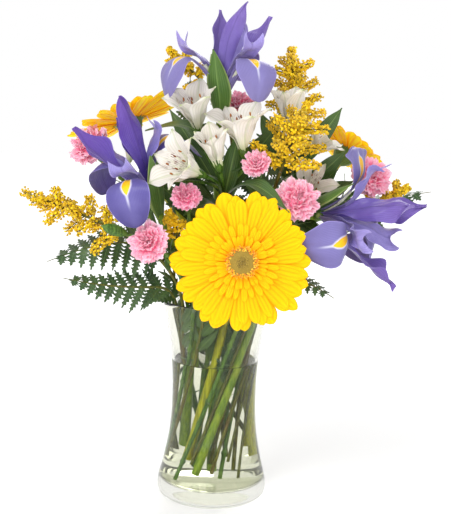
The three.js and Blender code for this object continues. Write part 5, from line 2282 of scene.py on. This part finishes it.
ALSTROEMERIAS = (
    Alstroemeria("alstroemeria_a", Slot(INNER, 340, 22), (4, -36, 282),
                 (Lily((-18, -38, 328), (-0.22, -0.42, 0.9), 0.45, 10, 49),
                  Lily((20, -50, 311), (-0.16, -0.25, 0.95), 0.66, 0, 52),
                  Lily((-12, -58, 296), (-0.72, -0.6, 0.35), 0.62, 20, 49),
                  Lily((0, -58, 300), (-0.25, -0.35, 0.9), 0.16, 40, 41)),
                 (((-80, -16, 303), (0.1, 0, 1)),),
                 (((4, -36, 276), (14, -46, 330), -6, (0, 1, 0)),
                  ((4, -36, 276), (57, -88, 271), 19, (0, -0.6, 1)),
                  ((4, -36, 280), (48, -14, 338), 5, (0, -1, 0.3)),
                  ((1, -28, 254), (-46, -40, 270), 6, (0, -1, 1)),
                  ((1, -30, 258), (-38, -16, 306), -6, (0, -1, 0.4)),
                  ((-1, -22, 226), (-46, -46, 226), 8, (0, -1, 1)),
                  ((2, -33, 268), (-30, -50, 262), 6, (0, -0.6, 1)),
                  ((1, -26, 240), (-60, -32, 292), 5, (0, -1, 0.3)),
                  ((4, -32, 284), (-67, -10, 331), 36, (0, -0.55, 0.84)),
                  ((2, -22, 278), (-47, 4, 350), 5, (0, -1, 0.3)),
                  ((1, -24, 262), (-64, -6, 312), 6, (0, -1, 0.3)))),
    Alstroemeria("alstroemeria_b", Slot(INNER, 78, 30), (66, 0, 300),
                 (Lily((59, -18, 330), (-0.05, -0.1, 1), 0.2, 15),
                  Lily((77, -18, 313), (0.55, -0.1, 0.75), 0.4, 0, 28)), (),
                 (((67, 2, 300), (106, 6, 356), -4, (0, 1, 0)),
                  ((62, 0, 270), (104, -6, 302), -6, (0, -1, 0.3)),
                  ((64, 0, 272), (112, 10, 318), 5, (0, -1, 0.2)),
                  ((60, 0, 290), (34, 12, 350), 5, (0, -1, 0.3)),
                  ((62, 0, 244), (22, -34, 288), 6, (0, -1, 0.5)),
                  ((62, 0, 262), (120, 4, 292), 4, (0, -1, 0.2)),
                  ((62, 0, 250), (116, -22, 278), 6, (0, -1, 0.5)),
                  ((60, 0, 262), (100, -14, 262), 8, (0, -0.7, 1)),
                  ((60, 0, 256), (92, -30, 240), 6, (0, -0.7, 1)))),
    Alstroemeria("alstroemeria_c", Slot(MIDDLE, 50, 36), (64, -6, 250),
                 (Lily((77, -8, 278), (0.04, -0.8, 0.5), 0.5, 30, 32),)),
)
GOLDENRODS = (
    Goldenrod("goldenrod_a", Slot(MIDDLE, 132, 26), (67, 15, 349), (59, 8, 411), 12, 31, 5.6, seed=1),
    Goldenrod("goldenrod_b", Slot(MIDDLE, 78, 34), (51, -46, 301), (71, -56, 364), 13, 39, 5.8, seed=2),
    Goldenrod("goldenrod_c", Slot(OUTER, 312, 22), (-84, -46, 246), (-168.5, -44, 282.5), 12, 27, 6.6,
              seed=3),
    Goldenrod("goldenrod_d", Slot(OUTER, 84, 28), (134, -4, 264), (166, -14, 292), 6, 22, seed=4),
    Goldenrod("goldenrod_e", Slot(INNER, 205, 32), (-18, 26, 375), (-50, 14, 406), 6, 18, seed=5),
    Goldenrod("goldenrod_f", Slot(OUTER, 345, 30), (-34, -58, 246), (-42, -64, 268), 4, 16, seed=6),
)
FERNS = (
    Fern("fern_left_high", Slot(OUTER, 282, 40), (-52, -8, 232), (-152, -30, 214), (-0.2, -0.75, 0.6), 12),
    Fern("fern_left_low", Slot(OUTER, 298, 30), (-50, -32, 196), (-132, -66, 208), (0.3, -0.8, 0.5), -8,
         widest=0.29),
    Fern("fern_right_low", Slot(OUTER, 50, 34), (46, -44, 208), (100, -76, 198), (0.3, -0.6, 0.7), 8, 5),
    Fern("fern_right_high", Slot(OUTER, 104, 38), (104, 46, 240), (202, 50, 281), (-0.2, -0.5, 0.85), 10),
    Fern("fern_back_right", Slot(OUTER, 126, 22), (40, 40, 270), (62, 52, 366), (0.2, -0.95, 0.2), -8, 5),
    Fern("fern_back", Slot(OUTER, 194, 18), (0, 60, 236), (-6, 120, 316), (0, -0.6, 0.8), 12, 5),
    Fern("fern_back_left", Slot(OUTER, 216, 26), (-30, 46, 290), (-32, 58, 388), (-0.1, -0.95, 0.2), -8,
         widest=0.3),
)


def main() -> None:
    """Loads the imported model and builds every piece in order."""
    logging.basicConfig(level=logging.INFO, format="%(message)s")
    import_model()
    for part in (Vase(), *IRISES, *GERBERAS, *CARNATIONS, *ALSTROEMERIAS, *GOLDENRODS, *FERNS, Studio()):
        part.build()
        LOG.info("built %s", getattr(part, "name", type(part).__name__))
    for side in ("front", "back"):
        bpy.data.materials.remove(bpy.data.materials[side])


if __name__ == "__main__":
    main()
